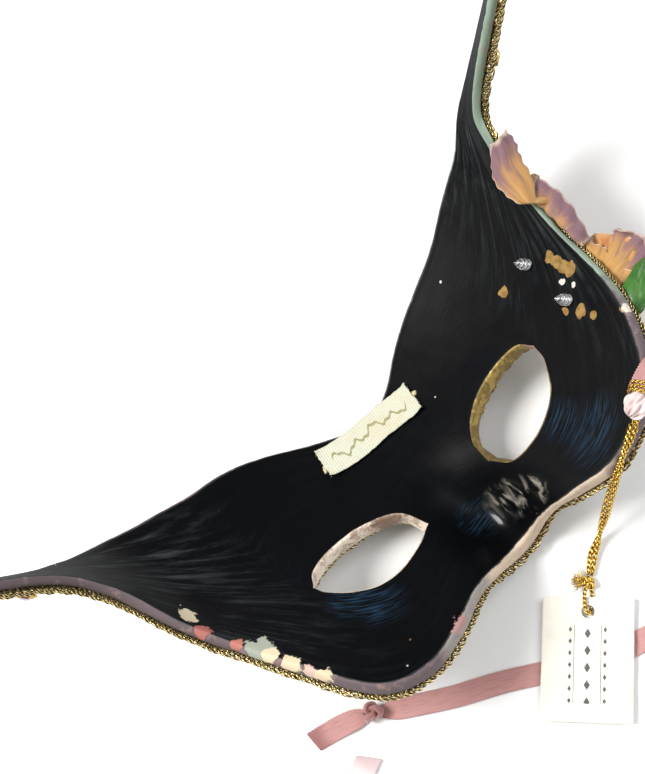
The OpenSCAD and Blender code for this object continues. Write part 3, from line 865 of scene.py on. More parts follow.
@dataclass(frozen=True)
class RimPaint:
    """Brushed paint of the rim: sage on the right wing, taupe on the cheeks and the left wing, bare
    cream plaster along the nose, with knocked patches and smears of the inside's black.
    """
    rubbed: Colour = (0.42, 0.27, 0.24)
    soiled: Colour = (0.07, 0.065, 0.06)

    def make(self) -> Material:
        """Builds the material: zones that meet at a wandering x, then wear, smears and knocks."""
        g = Graph("rim_paint")
        place = g.place()
        x, y, _ = g.parts(place)
        _, across, _ = g.parts(g.pattern())
        ragged = g.grain(260.0, 4.0, 0.62)
        x = x + (g.grain(90.0, 3.0, 0.55) - 0.5) * 0.016
        colour = g.blend(Zone.SAGE.value, Zone.MAUVE.value, x.step(0.0775, 0.0735))
        colour = g.blend(colour, Zone.CREAM.value, x.step(0.036, 0.030) * y.step(0.01, 0.0))
        colour = g.blend(colour, Zone.GREY.value, x.step(-0.011, -0.018))
        colour = g.blend(colour, Zone.MAUVE.value, x.step(-0.034, -0.044))
        colour = g.blend(colour, self.rubbed, ragged.step(0.56, 0.66) * 0.35)
        colour = g.blend(colour, self.soiled, g.brushed(0.25, 1.6, 4.0, 0.6, 0.3).step(0.56, 0.70) * 0.40)
        colour = g.blend(colour, SMEAR, (across + (ragged - 0.5) * 1.3).step(0.75, 0.35))
        colour, _ = g.knocked(colour, ragged)
        grain = g.grain(1100.0, 3.0, 0.6)
        return g.finish(Base_Color=colour, Roughness=0.62 + ragged * 0.16, Specular_IOR_Level=0.35,
                        Normal=g.relief(grain * 0.35 + ragged * 0.8, 0.0004, 0.6))


@dataclass(frozen=True)
class FrontPaint:
    """Front of the mask: mottled sage over gold, dragged with a dry brush."""
    sage: Colour = (0.24, 0.31, 0.22)
    gold: Colour = (0.55, 0.38, 0.12)
    rose: Colour = (0.42, 0.24, 0.25)

    def make(self) -> Material:
        """Builds the material."""
        g = Graph("front_paint")
        place = g.place()
        cloud = g.grain(45.0, 4.0, 0.6, 0.4)
        drag = g.brushed(0.2, 2.6, 4.0, 0.6, 0.3)
        crackle = g.cells(place, 260.0, "DISTANCE_TO_EDGE").step(0.06, 0.02)
        colour = g.blend(self.sage, self.rose, cloud.step(0.48, 0.62) * 0.8)
        leaf = (drag * 0.6 + cloud * 0.4).step(0.52, 0.60)
        colour = g.blend(colour, self.gold, leaf)
        colour = g.blend(colour, (0.10, 0.09, 0.06), crackle * 0.45)
        return g.finish(Base_Color=colour, Metallic=leaf * 0.75,
                        Roughness=0.52 - leaf * 0.14 + crackle * 0.2,
                        Normal=g.relief(drag * 0.6 - crackle * 0.5, 0.0003, 0.6))


@dataclass(frozen=True)
class EyeWall:
    """Inner wall of an eye hole: a coat, its rubbed accent, and a patch of another colour."""
    name: str
    base: Colour
    accent: Colour
    metal: float
    patch: Fleck

    def make(self) -> Material:
        """Builds the material."""
        g = Graph(self.name)
        place = g.place()
        rub = g.grain(240.0, 5.0, 0.68, 0.5)
        fine = g.grain(1300.0, 3.0, 0.6)
        shade = g.blend(self.base, self.accent, (rub * 0.75 + fine * 0.25).step(0.47, 0.60))
        scratch = g.cells(place, 420.0).step(0.16, 0.05)
        shade = g.blend(shade, (0.05, 0.045, 0.03), scratch * 0.35)
        shade = g.blend(shade, self.patch.shade, g.daubs([self.patch], rub, 1.6, (0.9, 0.6)))
        _, across, _ = g.parts(g.pattern())
        smear = (across + (rub - 0.5) * 0.9).step(0.30, 0.06)
        shade = g.blend(shade, SMEAR, smear)
        return g.finish(Base_Color=shade, Metallic=(1.0 - smear) * self.metal,
                        Roughness=0.42 + fine * 0.2,
                        Normal=g.relief(rub * 0.7 + fine * 0.3, 0.0005, 0.7))


@dataclass(frozen=True)
class GoldThread:
    """Metallic yarn: bright gold and a dull colour, which serves as tarnish and as painted shade.
    Painted glints follow a twist along the pattern's first axis, noise adds tarnish, and painted
    shade darkens the grooves on the side of a ply that faces the yarn's middle.
    """
    name: str = "gold_thread"
    # bright is the gold of the painted glints; dull serves as tarnish and as painted shade
    bright: Colour = (1.0, 0.80, 0.38)
    dull: Colour = (0.060, 0.038, 0.010)
    turns: float = 0.8
    glint: tuple = (0.50, 0.96)
    groove_shade: float = 0.0

    def make(self) -> Material:
        """Builds the material."""
        g = Graph(self.name)
        along, around, _ = g.parts(g.pattern())
        twist = (along * self.turns + around * 2.0).wave()
        age = g.grain(210.0, 4.0, 0.6)
        # painted glints on the twist's crests, noise for tarnish, and painted shade on the ply's side that
        # faces the yarn's middle
        bright = twist * 0.72 + age * 0.5 - (1.0 - around.wave()) * self.groove_shade
        colour = g.blend(self.dull, self.bright, bright.step(*self.glint))
        colour = g.blend(colour, (0.10, 0.085, 0.03), age.step(0.56, 0.70) * 0.6)
        return g.finish(Base_Color=colour, Metallic=0.92, Roughness=0.20 + age * 0.18,
                        Normal=g.relief(twist, 0.00012, 0.8))


@dataclass(frozen=True)
class VioletGlass:
    """Cut violet glass over foil, which throws its colour back."""

    def make(self) -> Material:
        """Builds the material."""
        g = Graph("violet_glass")
        cloud = g.grain(520.0, 2.0)
        colour = g.blend((0.16, 0.14, 0.50), (0.42, 0.36, 0.85), cloud.step(0.4, 0.62))
        colour = g.blend(colour, g.cells(g.place(), 700.0, "F1", "Color"), 0.08)
        return g.finish(Base_Color=colour, Metallic=0.55, Roughness=0.06 + cloud * 0.05,
                        Coat_Weight=1.0, Coat_Roughness=0.02, IOR=1.6)


@dataclass(frozen=True)
class PlatedMetal:
    """Bright metal with dull patches, and black lacquer where the mesh's value is high."""
    name: str
    bright: Colour
    dull: Colour
    size: float
    dull_from: float

    def make(self) -> Material:
        """Builds the material."""
        g = Graph(self.name)
        age = g.grain(self.size, 4.0, 0.6)
        colour = g.blend(self.bright, self.dull, age.step(self.dull_from, self.dull_from + 0.2))
        colour = g.blend(colour, (0.02, 0.022, 0.025), g.tone().step(0.5, 0.9) * 0.75)
        return g.finish(Base_Color=colour, Metallic=0.97, Roughness=0.23 + age * 0.24,
                        Normal=g.relief(age, 0.00009, 0.5))


@dataclass(frozen=True)
class DyedPetal:
    """Stiffened petal cloth: mauve at the rim, blending to orange at the heart, a cream edge, dye
    veins that run out from the heart, and fine slanting dots.

    The pattern runs from the heart to the rim in V and from -1 to 1 across in U.
    """
    name: str
    heart: Colour = (0.47, 0.235, 0.052)
    rim: Colour = (0.195, 0.098, 0.122)
    edge: Colour = (0.70, 0.56, 0.42)
    vein_dye: Colour = (0.58, 0.40, 0.20)
    blotch: Colour = (0.16, 0.072, 0.11)
    dots: Colour = (0.62, 0.44, 0.24)

    def make(self) -> Material:
        """Builds the material: two dyes, veins, blotches, the cut edge, and slanting dots."""
        g = Graph(self.name)
        uv = g.pattern()
        across, out, _ = g.parts(uv)
        blot = g.noise(g.stretch(uv, (1.6, 0.9, 1)), 1.6, 4.0, 0.6, 0.6)
        vein = g.brushed(16.0, 0.8, 3.0, 0.6, 0.2)
        mix = (out + (blot - 0.5) * 1.2).step(0.35, 0.85)
        dot = g.cells(g.stretch(uv, (46.0, 52.0, 1), 0.6), 1.0).step(0.40, 0.18)
        colour = g.blend(self.heart, self.rim, mix)
        colour = g.blend(colour, self.vein_dye, vein.step(0.52, 0.70) * (1.0 - mix * 0.8) * 0.6)
        colour = g.blend(colour, self.blotch, (blot * 0.5 + vein * 0.5).step(0.56, 0.66) * mix * 0.55)
        colour = g.blend(colour, self.edge, (g.tone() + (blot - 0.5) * 0.12).step(0.94, 0.99) * 0.6)
        colour = g.blend(colour, self.dots, dot * (1.0 - out).step(0.2, 0.8) * 0.3)
        cloth = ((across * 170.0).sine() + (out * 240.0).sine()) * 0.25 + 0.5
        return g.finish(Base_Color=colour, Roughness=0.72 - vein * 0.10, Sheen_Weight=0.25,
                        Sheen_Roughness=0.5, Normal=g.relief(vein * 0.55 + cloth * 0.22, 0.00025, 0.7))


@dataclass(frozen=True)
class WaxedLeaf:
    """Waxed green leaf cloth: a pale midrib, slanting side veins and a glossy skin."""

    def make(self) -> Material:
        """Builds the material."""
        g = Graph("waxed_leaf")
        across, along, _ = g.parts(g.pattern())
        side = across.size()
        blot = g.grain(120.0, 4.0, 0.6)
        ray = ((along * 7.0 - side * 1.6).wrap() - 0.5) * 2.0
        veins = side.step(0.07, 0.02) + (ray * ray).step(0.06, 0.0) * (1.0 - side * 0.6) * 0.6
        colour = g.blend((0.010, 0.060, 0.008), (0.040, 0.155, 0.015), blot.step(0.38, 0.66))
        colour = g.blend(colour, (0.085, 0.20, 0.04), veins.least(1.0))
        return g.finish(Base_Color=colour, Roughness=0.26 + blot * 0.18, Coat_Weight=0.3,
                        Coat_Roughness=0.12, Normal=g.relief(blot * 0.5 - veins, 0.0005, 0.6))


@dataclass(frozen=True)
class Satin:
    """Ribbon satin: fine ribs across the ribbon and threads along it, with worn, darker ends.

    The pattern runs along in U and across in V, in millimetres; the mesh's value darkens it, for
    the worn ends and for painted shade where the knot and the left anchor pinch the ribbons, over
    the whole tied knot and in the puff's pleats.
    """
    name: str
    face: Colour
    deep: Colour

    def make(self) -> Material:
        """Builds the material."""
        g = Graph(self.name)
        along, across, _ = g.parts(g.pattern())
        pick = (along * 2.6 + across * 0.19).wave()
        slub = g.brushed(0.18, 2.6, 4.0, 0.55)
        height = across.wave(3.4) * 0.35 + pick * 0.35 + slub * 0.4
        # the mesh's value darkens towards the deep colour: worn ends, and painted shade at the pinches, on the
        # knot and in the puff's pleats
        colour = g.blend(self.face, self.deep, g.tone())
        colour = g.blend(colour, self.deep, slub.step(0.48, 0.68) * 0.35 + pick * 0.10)
        return g.finish(Base_Color=colour, Roughness=0.34 + pick * 0.14 + slub * 0.1, Sheen_Weight=0.5,
                        Sheen_Roughness=0.35, Normal=g.relief(height, 0.00012, 0.75))


@dataclass(frozen=True)
class WovenTape:
    """Woven cream tape with a loose pen-like scroll worked along its middle."""

    def make(self) -> Material:
        """Builds the material: weave, slubs, and a scroll as a band about two summed waves."""
        g = Graph("woven_tape")
        along, across, _ = g.parts(g.pattern())
        warp = ((along * (2 * math.pi * 2.1)).sine() * (across * (2 * math.pi * 2.6)).sine()) * 0.5 + 0.5
        bars = along.wave(1.15)
        slub = g.brushed(0.4, 3.0, 4.0, 0.6)
        soil = g.grain(70.0, 3.0, 0.6)
        thread = (warp * 0.4 + slub * 0.3 + bars * 0.3).step(0.3, 0.75)
        colour = g.blend((0.50, 0.50, 0.38), (0.67, 0.68, 0.56), thread)
        colour = g.blend(colour, (0.58, 0.47, 0.28), soil.step(0.52, 0.70) * 0.35)
        line = (along * 0.82).sine() * 1.2 + (along * 0.31 + 1.0).sine() + (along * 2.1).sine() * 0.5
        gap = across - line
        ink = (gap * gap).step(0.50, 0.22) * (along * along).step(250.0, 215.0)
        broken = g.noise(g.pattern(), 2.4, 3.0, 0.6).step(0.36, 0.46)
        colour = g.blend(colour, (0.22, 0.20, 0.055), ink * broken * 0.85)
        return g.finish(Base_Color=colour, Roughness=0.82 + slub * 0.1, Sheen_Weight=0.2,
                        Normal=g.relief(warp * 0.4 + bars * 0.4 + slub * 0.4, 0.00018, 0.8))


@dataclass(frozen=True)
class CardStock:
    """Ivory card with a plain border of rules and lozenges, and handled, greyed corners.

    The pattern is the place on the card in millimetres from its middle. A row of lozenges has its
    distance from the middle line, its pitch and its half width.
    """
    rule_x: float = 4.1
    rows: tuple = ((0.0, 5.2, 0.95), (5.3, 3.6, 0.55))

    def make(self) -> Material:
        """Builds the material: each mark is a band or a lozenge about a stated place."""
        g = Graph("card_stock")
        x, y, _ = g.parts(g.pattern())
        ax = x.size()
        fibre = g.grain(900.0, 4.0, 0.6)
        soil = g.grain(60.0, 4.0, 0.6)
        colour = g.blend((0.80, 0.775, 0.69), (0.71, 0.675, 0.57), soil.step(0.42, 0.66) * 0.7)
        colour = g.blend(colour, (0.62, 0.57, 0.46), fibre.step(0.55, 0.75) * 0.3)
        rise = (y + 1.5) * (1.0 / 12.0)
        within = (rise * rise).step(1.0, 0.985)
        off_rule = ax - self.rule_x
        ink = (off_rule * off_rule).step(0.012, 0.004) * within
        for off, pitch, size in self.rows:
            far = (((y * (1.0 / pitch)).wrap() - 0.5) * pitch).size()
            lozenge = (far * 0.62 + (ax - off).size()).step(size * 1.06, size * 0.96)
            ink = ink.most(lozenge * within)
        fray = g.grain(1500.0, 3.0).step(0.25, 0.40)
        colour = g.blend(colour, (0.045, 0.042, 0.05), ink * fray * 0.92)
        return g.finish(Base_Color=colour, Roughness=0.72 + fibre * 0.12, Specular_IOR_Level=0.3,
                        Normal=g.relief(fibre * 0.6 + soil * 0.4, 0.00009, 0.6))


@dataclass(frozen=True)
class Mottled:
    """A simple two-tone finish with grain, for small trims."""
    name: str
    light: Colour
    dark: Colour
    grain: float = 500.0
    rough: float = 0.6
    depth: float = 0.0002

    def make(self) -> Material:
        """Builds the material: two scales of noise blend the tones and raise the grain."""
        g = Graph(self.name)
        wide = g.grain(self.grain * 0.2, 3.0, 0.6, 0.3)
        fine = g.grain(self.grain, 4.0, 0.65)
        colour = g.blend(self.light, self.dark, (wide * 0.6 + fine * 0.4).step(0.40, 0.62))
        return g.finish(Base_Color=colour, Roughness=fine * 0.2 + (self.rough - 0.1),
                        Normal=g.relief(fine * 0.7 + wide * 0.3, self.depth, 0.7))


class Workshop:
    """Makes each finish once and hands it to the pieces that share it."""

    def __init__(self) -> None:
        """Mixes every finish."""
        peach = Fleck(48.3, 0.5, 26.0, 8.0, (0.62, 0.40, 0.27))
        bare = Fleck(-24.0, 2.5, 16.0, 9.0, (0.20, 0.125, 0.085))
        crown_dyes = (0.42, 0.15, 0.035), (0.56, 0.28, 0.09), (0.70, 0.50, 0.30)
        # the cord's gold as lit and shaded copies, for its painted glints and painted shade
        cord_glint_and_shade_golds = (1.0, 0.66, 0.14), (0.040, 0.016, 0.002)
        self.lacquer = BrushedLacquer().make()
        self.rim = RimPaint().make()
        self.front = FrontPaint().make()
        self.eye_right = EyeWall("eye_wall_right", (0.19, 0.13, 0.03), (0.42, 0.30, 0.09), 0.5, peach).make()
        self.eye_left = EyeWall("eye_wall_left", (0.76, 0.67, 0.56), (0.40, 0.29, 0.22), 0.0, bare).make()
        self.gold = GoldThread().make()
        self.cord_gold = GoldThread("cord_gold", *cord_glint_and_shade_golds, 0.24, (-0.05, 0.62), 0.75).make()
        self.brass = PlatedMetal("stamped_brass", (0.86, 0.62, 0.25), (0.32, 0.20, 0.07), 380.0, 0.5).make()
        self.glass = VioletGlass().make()
        self.steel = PlatedMetal("screw_steel", (0.80, 0.81, 0.82), (0.42, 0.43, 0.44), 700.0, 0.46).make()
        self.petal = DyedPetal("dyed_petal").make()
        self.crown = DyedPetal("dyed_crown", *crown_dyes).make()
        flock = (0.74, 0.52, 0.12), (0.42, 0.24, 0.04)
        self.heart = Mottled("flocked_heart", *flock, 1600.0, 0.9, 0.0006).make()
        self.leaf = WaxedLeaf().make()
        self.stem = Mottled("stem_paper", (0.22, 0.32, 0.10), (0.11, 0.17, 0.05), 900.0, 0.8).make()
        self.plate = Mottled("plate_paint", (0.28, 0.34, 0.18), (0.16, 0.20, 0.10), 420.0, 0.6).make()
        self.glue = Mottled("dried_glue", (0.74, 0.64, 0.38), (0.50, 0.40, 0.20), 700.0, 0.38).make()
        self.tape = WovenTape().make()
        self.pink = Satin("pink_satin", (0.54, 0.27, 0.26), (0.27, 0.095, 0.095)).make()
        self.pale = Satin("pale_satin", (0.82, 0.72, 0.72), (0.55, 0.40, 0.42)).make()
        self.blush = Satin("blush_satin", (0.86, 0.74, 0.72), (0.62, 0.38, 0.37)).make()
        self.card = CardStock().make()


# ---------------------------------------------------------------- pieces

def settle(draft: Draft, name: str, finishes: Sequence[Material], node: str,
           body: str = "mask", merge: float = 0.0, smooth_faces: bool = True) -> Thing:
    """Makes a piece and hands it over: its body and the plain node it stands for.

    Args:
        draft: The piece's patches.
        name: Name of the piece.
        finishes: Its material slots in order.
        node: Plain node that it replaces.
        body: The body that carries it.
        merge: Distance in millimetres under which points become one; 0 leaves them.
        smooth_faces: Whether the faces are shaded smoothly.

    Returns:
        The piece.
    """
    piece = draft.build(name, finishes, merge, smooth_faces)
    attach(piece, body)
    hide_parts(node)
    log.info("%s: %d faces on %s", name, len(piece.data.polygons), body)
    return piece


@dataclass
class Shell:
    """The moulded papier-mache shell, with rounded rims, brush-built unevenness and painted zones."""
    shop: Workshop
    rim_round: float = 1.5
    eye_round: float = 1.1
    skin_rows: int = 22
    arc_rows: int = 5
    wall_rows: int = 4

    def columns(self) -> Array:
        """Outline parameters: finest round the eyes, mirrored to the left."""
        first, last = FORM.eye_u
        half = np.concatenate([np.linspace(0, first, 27)[:-1], np.linspace(first, last, 79)[:-1],
                               np.linspace(last, FORM.last_u, 76)])
        return np.concatenate([-half[:0:-1], half])

    def hand(self, q: Array) -> Array:
        """Depth of the hand-made unevenness at places in plan: two scales of ripple."""
        x, y = q[..., 0], q[..., 1]
        return 0.16 * ripple(x, y, 26.0) + 0.05 * ripple(x, y, 7.0, 2.0)

    def wall_rows_of(self, r: Array | float, t: Array) -> tuple[Array, Array]:
        """Rows down a wall whose two edges are quarter circles of radius r, straight between.

        Args:
            r: Radius of the edges.
            t: Thickness of the wall, one row for each column.

        Returns:
            How far the rows stand in from the wall's face, and their depth.
        """
        a = np.linspace(0, np.pi / 2, self.arc_rows)[None]
        set_in, dip = r * (1 - np.sin(a)) + 0 * t, r * (1 - np.cos(a)) + 0 * t
        straight = r + (t - 2 * r) * np.linspace(0, 1, self.wall_rows)[None, 1:-1]
        inset = np.concatenate([set_in, 0 * straight, set_in[:, ::-1]], axis=1)
        return inset, np.concatenate([dip, straight, t - dip[:, ::-1]], axis=1)

    def strip(self, side: int, u: Array) -> dict[str, tuple[Array, Array]]:
        """Patches of one strip, from an outline to the middle line.

        A row's place in plan is the outline moved towards the middle line by an inset. The inset
        and the depth follow quarter circles at the rim and at the eye, and straight lines between.

        Args:
            side: 1 for the upper strip, -1 for the lower.
            u: Outline parameters of the columns.

        Returns:
            Points and pattern coordinates by patch name: rim, inside, eye, front.
        """
        rim = FORM.edge(FORM.upper_edge if side == 1 else FORM.lower_edge, u)
        mid = FORM.mid_line(u, side)
        wobble = 0.22 * ripple(u * 9, u * 0, 17.0, side) + 0.08 * ripple(u * 30, u * 0, 11.0)
        rim = rim + wobble[:, None] * unit(rim - mid)
        length = np.linalg.norm(mid - rim, axis=1)[:, None]
        v = np.abs(u)[:, None]
        ends = np.minimum(v - FORM.eye_u[0], FORM.eye_u[1] - v)
        round_eye = self.eye_round * smooth(ends / 0.35) * (ends > 0)
        t = FORM.wall(rim[:, :1])
        rim_inset, rim_depth = self.wall_rows_of(self.rim_round, t)
        eye_in, eye_depth = self.wall_rows_of(round_eye, t)
        skin = np.linspace(0, 1, self.skin_rows)[None]
        skin = self.rim_round + (length - round_eye - self.rim_round) * skin
        arc = arc_lengths((FORM.edge(FORM.lower_edge, u) + FORM.edge(FORM.upper_edge, u)) / 2)[:, None]
        arc = arc - arc[len(arc) // 2]
        patches = {}
        for name, inset, depth in (("rim", rim_inset, rim_depth), ("inside", skin, 0 * skin),
                                   ("eye", length - eye_in, eye_depth), ("front", skin, 0 * skin + t)):
            q = rim[:, None] + (mid - rim)[:, None] * (inset / length)[..., None]
            share = depth / t
            points = FORM.below(q, share * FORM.wall(q[..., 0]) - self.hand(q) * (1 - 2 * share))
            across = side * 26.0 * (1 - inset / length)
            if name in ("rim", "eye"):
                steps = np.diff(points, axis=1, prepend=points[:, :1])
                across = np.cumsum(np.linalg.norm(steps, axis=2), axis=1)
            patches[name] = (points, pair(arc, across))
        return patches

    def cap(self, patches: dict[str, tuple[Array, Array]], end: int, outward: float) -> Array:
        """Closes a wing's tip: rows from the inside's end to the front's, bulged as a half ellipse.

        Args:
            patches: Patches of one strip.
            end: First column (0) or last one (-1).
            outward: Direction of the bulge along x.

        Returns:
            The cap's points.
        """
        rim = patches["rim"][0][end]
        half = patches["rim"][0].shape[1] // 2
        first_low = half + (len(rim) + 1) % 2
        upper = np.vstack([rim[:half + 1][::-1], patches["inside"][0][end]])
        lower = np.vstack([rim[first_low:first_low + half + 1], patches["front"][0][end]])
        n = min(len(upper), len(lower))
        s = np.linspace(0, 1, 7)[:, None, None]
        bulge = 1.6 * np.sqrt(np.maximum(0.25 - (s - 0.5) ** 2, 0))
        return upper[:n] * (1 - s) + lower[:n] * s + bulge * np.array([outward, 0.15, 0.5])

    def build(self) -> Thing:
        """Builds the shell from both strips and closes the tips of the wings."""
        u = self.columns()
        draft = Draft()
        open_u = (np.abs(u) >= FORM.eye_u[0] - 1e-6) & (np.abs(u) <= FORM.eye_u[1] + 1e-6)
        for side in (-1, 1):
            patches = self.strip(side, u)
            for slot, name in enumerate(("inside", "rim", "front")):
                points, uv = patches[name]
                tone = smooth((np.abs(points[..., 0]) - 46) / 50)
                draft.add(points, grid_faces(*points.shape[:2]), uv, slot, tone.ravel())
            for sign, slot in ((1, 3), (-1, 4)):
                pick = open_u & (np.sign(u) == sign)
                points, uv = patches["eye"][0][pick], patches["eye"][1][pick]
                draft.add(points, grid_faces(*points.shape[:2]), uv, slot)
            for end, outward in ((0, -1.0), (-1, 1.0)):
                cap = self.cap(patches, end, outward)
                draft.add(cap, grid_faces(*cap.shape[:2]), cap[..., :2] * [1, 0] + [0, 3.0], 1)
        shop = self.shop
        coats = [shop.lacquer, shop.rim, shop.front, shop.eye_right, shop.eye_left]
        return settle(draft, "shell", coats, "mask_shell", merge=0.012)


@dataclass
class Braids:
    """Gold gimp braids glued along the front: looped outer strands, and a core of two strands."""
    shop: Workshop
    pitch: float = 4.2
    strand_r: float = 0.36
    lift: float = 0.3
    high: float = 1.6

    def gimp(self, draft: Draft, plan: Array, half_w: float, closed: bool = False,
             reach: tuple[float, float] = (1.0, 1.0)) -> None:
        """Adds one braid along places in plan on the front.

        A loop strand swings sideways by a cosine and slips back along the braid by a sine, so that
        it closes on itself; the two core strands swing by sines half a turn apart.

        Args:
            draft: Where it is added.
            plan: Places in plan.
            half_w: Half of the braid's width.
            closed: Whether it is a ring.
            reach: Factors on the loops' reach, to the left and to the right of the path.
        """
        base = resample(np.vstack([plan, plan[:1]]) if closed else plan, 0.38)
        if closed:
            base = base[:-1]
        middle = FORM.below(base, FORM.wall(base[:, 0]) + self.lift + self.high * 0.45)
        away = -FORM.inward(base)
        tangent, side, up = frames(middle, away, closed)
        s = arc_lengths(middle)
        loops = max(round(s[-1] / self.pitch), 4)
        steps = len(s) if closed else len(s) - 1
        phase = (2 * np.pi * loops * np.arange(len(s)) / steps)[:, None]
        uneven = 1 + 0.32 * ripple(s, s * 0, 9.0, half_w)[:, None]
        by_flowers = smooth((base[:, :1] - 66) / 6) * smooth((54 - base[:, 1:2]) / 6)
        width = half_w * uneven * (1 - 0.5 * by_flowers)
        for hand, far in ((-1, reach[0]), (1, reach[1])):
            for inner, shift in ((1.0, 0.0), (0.66, math.pi)):
                p = phase + shift
                swing = hand * far * inner * width * (0.25 + 0.95 * (0.5 + 0.5 * np.cos(p)) ** 1.5)
                slip = 0.40 * self.pitch * np.sin(p)
                path = middle + swing * side + slip * tangent + 0.34 * inner * np.sin(p + 0.6) * up
                tube(draft, path, away, self.strand_r * (1.25 - 0.25 * inner), 5, closed)
        for k in range(2):
            p = phase * 2 + np.pi * k
            path = middle + 0.40 * half_w * np.sin(p) * side + 0.40 * np.cos(p) * up
            tube(draft, path, away, self.strand_r, 5, closed)

    def edge_plan(self, outline: Sequence, inset: float, on_wing: float, end: float = 9.88) -> Array:
        """Places along an outline, set in by a distance that changes on the wings."""
        u = np.linspace(-end, end, 500)
        return FORM.inset(outline, u, inset + (on_wing - inset) * smooth(np.abs(u) - 7.6))

    def wing_plan(self, side: int, blend: float) -> Array:
        """Places along a wing, between its lower outline and its upper one."""
        u = side * np.linspace(7.4, 9.44, 60)
        return FORM.edge(FORM.lower_edge, u) * (1 - blend) + FORM.edge(FORM.upper_edge, u) * blend

    def eye_plan(self, side: int) -> Array:
        """A ring outside an eye hole."""
        f = np.linspace(0, 1, 80, endpoint=False)
        u = np.full(80, float(side))
        q = np.vstack([FORM.eye_point(u, 1, f), FORM.eye_point(u, -1, 1 - f)])
        return q + 3.2 * unit(q - np.array([side * FORM.eye_x, FORM.eye_y]))

    def build(self) -> None:
        """Builds the six braids."""
        edge = (("lower_edge", FORM.lower_edge, 1.8, -1.5, 1.7, (1.0, 1.5)),
                ("upper_edge", FORM.upper_edge, 2.4, 2.4, 1.6, (1.0, 1.0)))
        plans = [(name, self.edge_plan(line, inset, on_wing), half_w, False, reach)
                 for name, line, inset, on_wing, half_w, reach in edge]
        for hand, side in (("right", 1), ("left", -1)):
            plans.append(("wing_" + hand, self.wing_plan(side, 0.5), 1.6, False, (1.0, 1.0)))
        for hand, side in (("right", 1), ("left", -1)):
            plans.append(("eye_" + hand, self.eye_plan(side), 1.6, True, (1.0, 1.0)))
        for name, *plan in plans:
            draft = Draft()
            self.gimp(draft, *plan)
            settle(draft, f"braid_{name}_gimp", [self.shop.gold], "braid_" + name)


@dataclass
class Stones:
    """Faceted violet stones in claw cups: two flat on the brow, two on the wings."""
    shop: Workshop
    facets: int = 12

    def lathe(self, draft: Draft, seat: Seat, profile: Array, sides: int, wave: float = 0.0) -> None:
        """Adds a turned form: a profile of radius and height, carried round local +Z.

        Args:
            draft: Where it is added.
            seat: Where the form's foot stands.
            profile: Rows of radius and height, from axis to axis.
            sides: Points round the form.
            wave: Share by which the radius swells and shrinks, for claws.
        """
        a, z = turns(sides)[None], profile[:, 1:]
        r = profile[:, :1] * (1 + wave * np.cos(a * sides / 4) * (z > 0.6))
        draft.add(seat.put(polar(r, a, z)), grid_faces(len(profile), sides, wrap_cols=True),
                  pair(z, a / (2 * np.pi)))

    def build(self) -> None:
        """Builds both pairs: brow stones face the ground, wing stones the front."""
        wing = [FORM.seat(x, y, 2.1) for x, y in ((-104, 56.3), (104, 64))]
        brow = [Seat(np.array([side * 27.0, 44.0, 2.7]), DOWN) for side in (-1, 1)]
        for name, seats, r, h in (("brow", brow, 3.5, 2.7), ("wing", wing, 3.0, 2.4)):
            cup = np.array([[0.02, 0], [r + 0.4, 0], [r + 0.6, 0.5], [r + 0.7, h * 0.5], [r + 0.55, h * 0.6],
                            [r + 0.25, h * 0.6], [r + 0.15, 0.3], [0.02, 0.3]])
            gem = np.array([[0.02, 0.35], [r, 0.35], [r, 0.35 + h * 0.22], [r * 0.86, 0.35 + h * 0.48],
                            [r * 0.6, h], [0.02, h]])
            cups, gems = Draft(), Draft()
            for seat in seats:
                self.lathe(cups, seat, cup, 48, 0.06)
                self.lathe(gems, seat, gem, self.facets)
            settle(cups, name + "_claw_cups", [self.shop.brass], name + "_gem_cups", merge=0.03)
            settle(gems, name + "_cut_stones", [self.shop.glass], name + "_gems",
                   merge=0.03, smooth_faces=False)


@dataclass(frozen=True)
class Petal:
    """One cut petal: its direction in plan in degrees, and how it is bent, in millimetres."""
    turn: float
    reach: float
    half_w: float
    curl: float = 6.0
    cup: float = 3.0
    lift: float = 3.0
    start: float = 1.6
    seed: float = 0.0


@dataclass(frozen=True)
class Sheet:
    """A petal or leaf given as rows of three places from its root to its far edge.

    Its pattern runs over a span of the finish, and ruffles raise its far edge.
    """
    rows: tuple
    span: tuple = (0.0, 1.0)
    ruffle: float = 0.5
    waves: float = 9.0
    seed: float = 0.0
    roll: float = 0.0
    scallop: float = 0.05


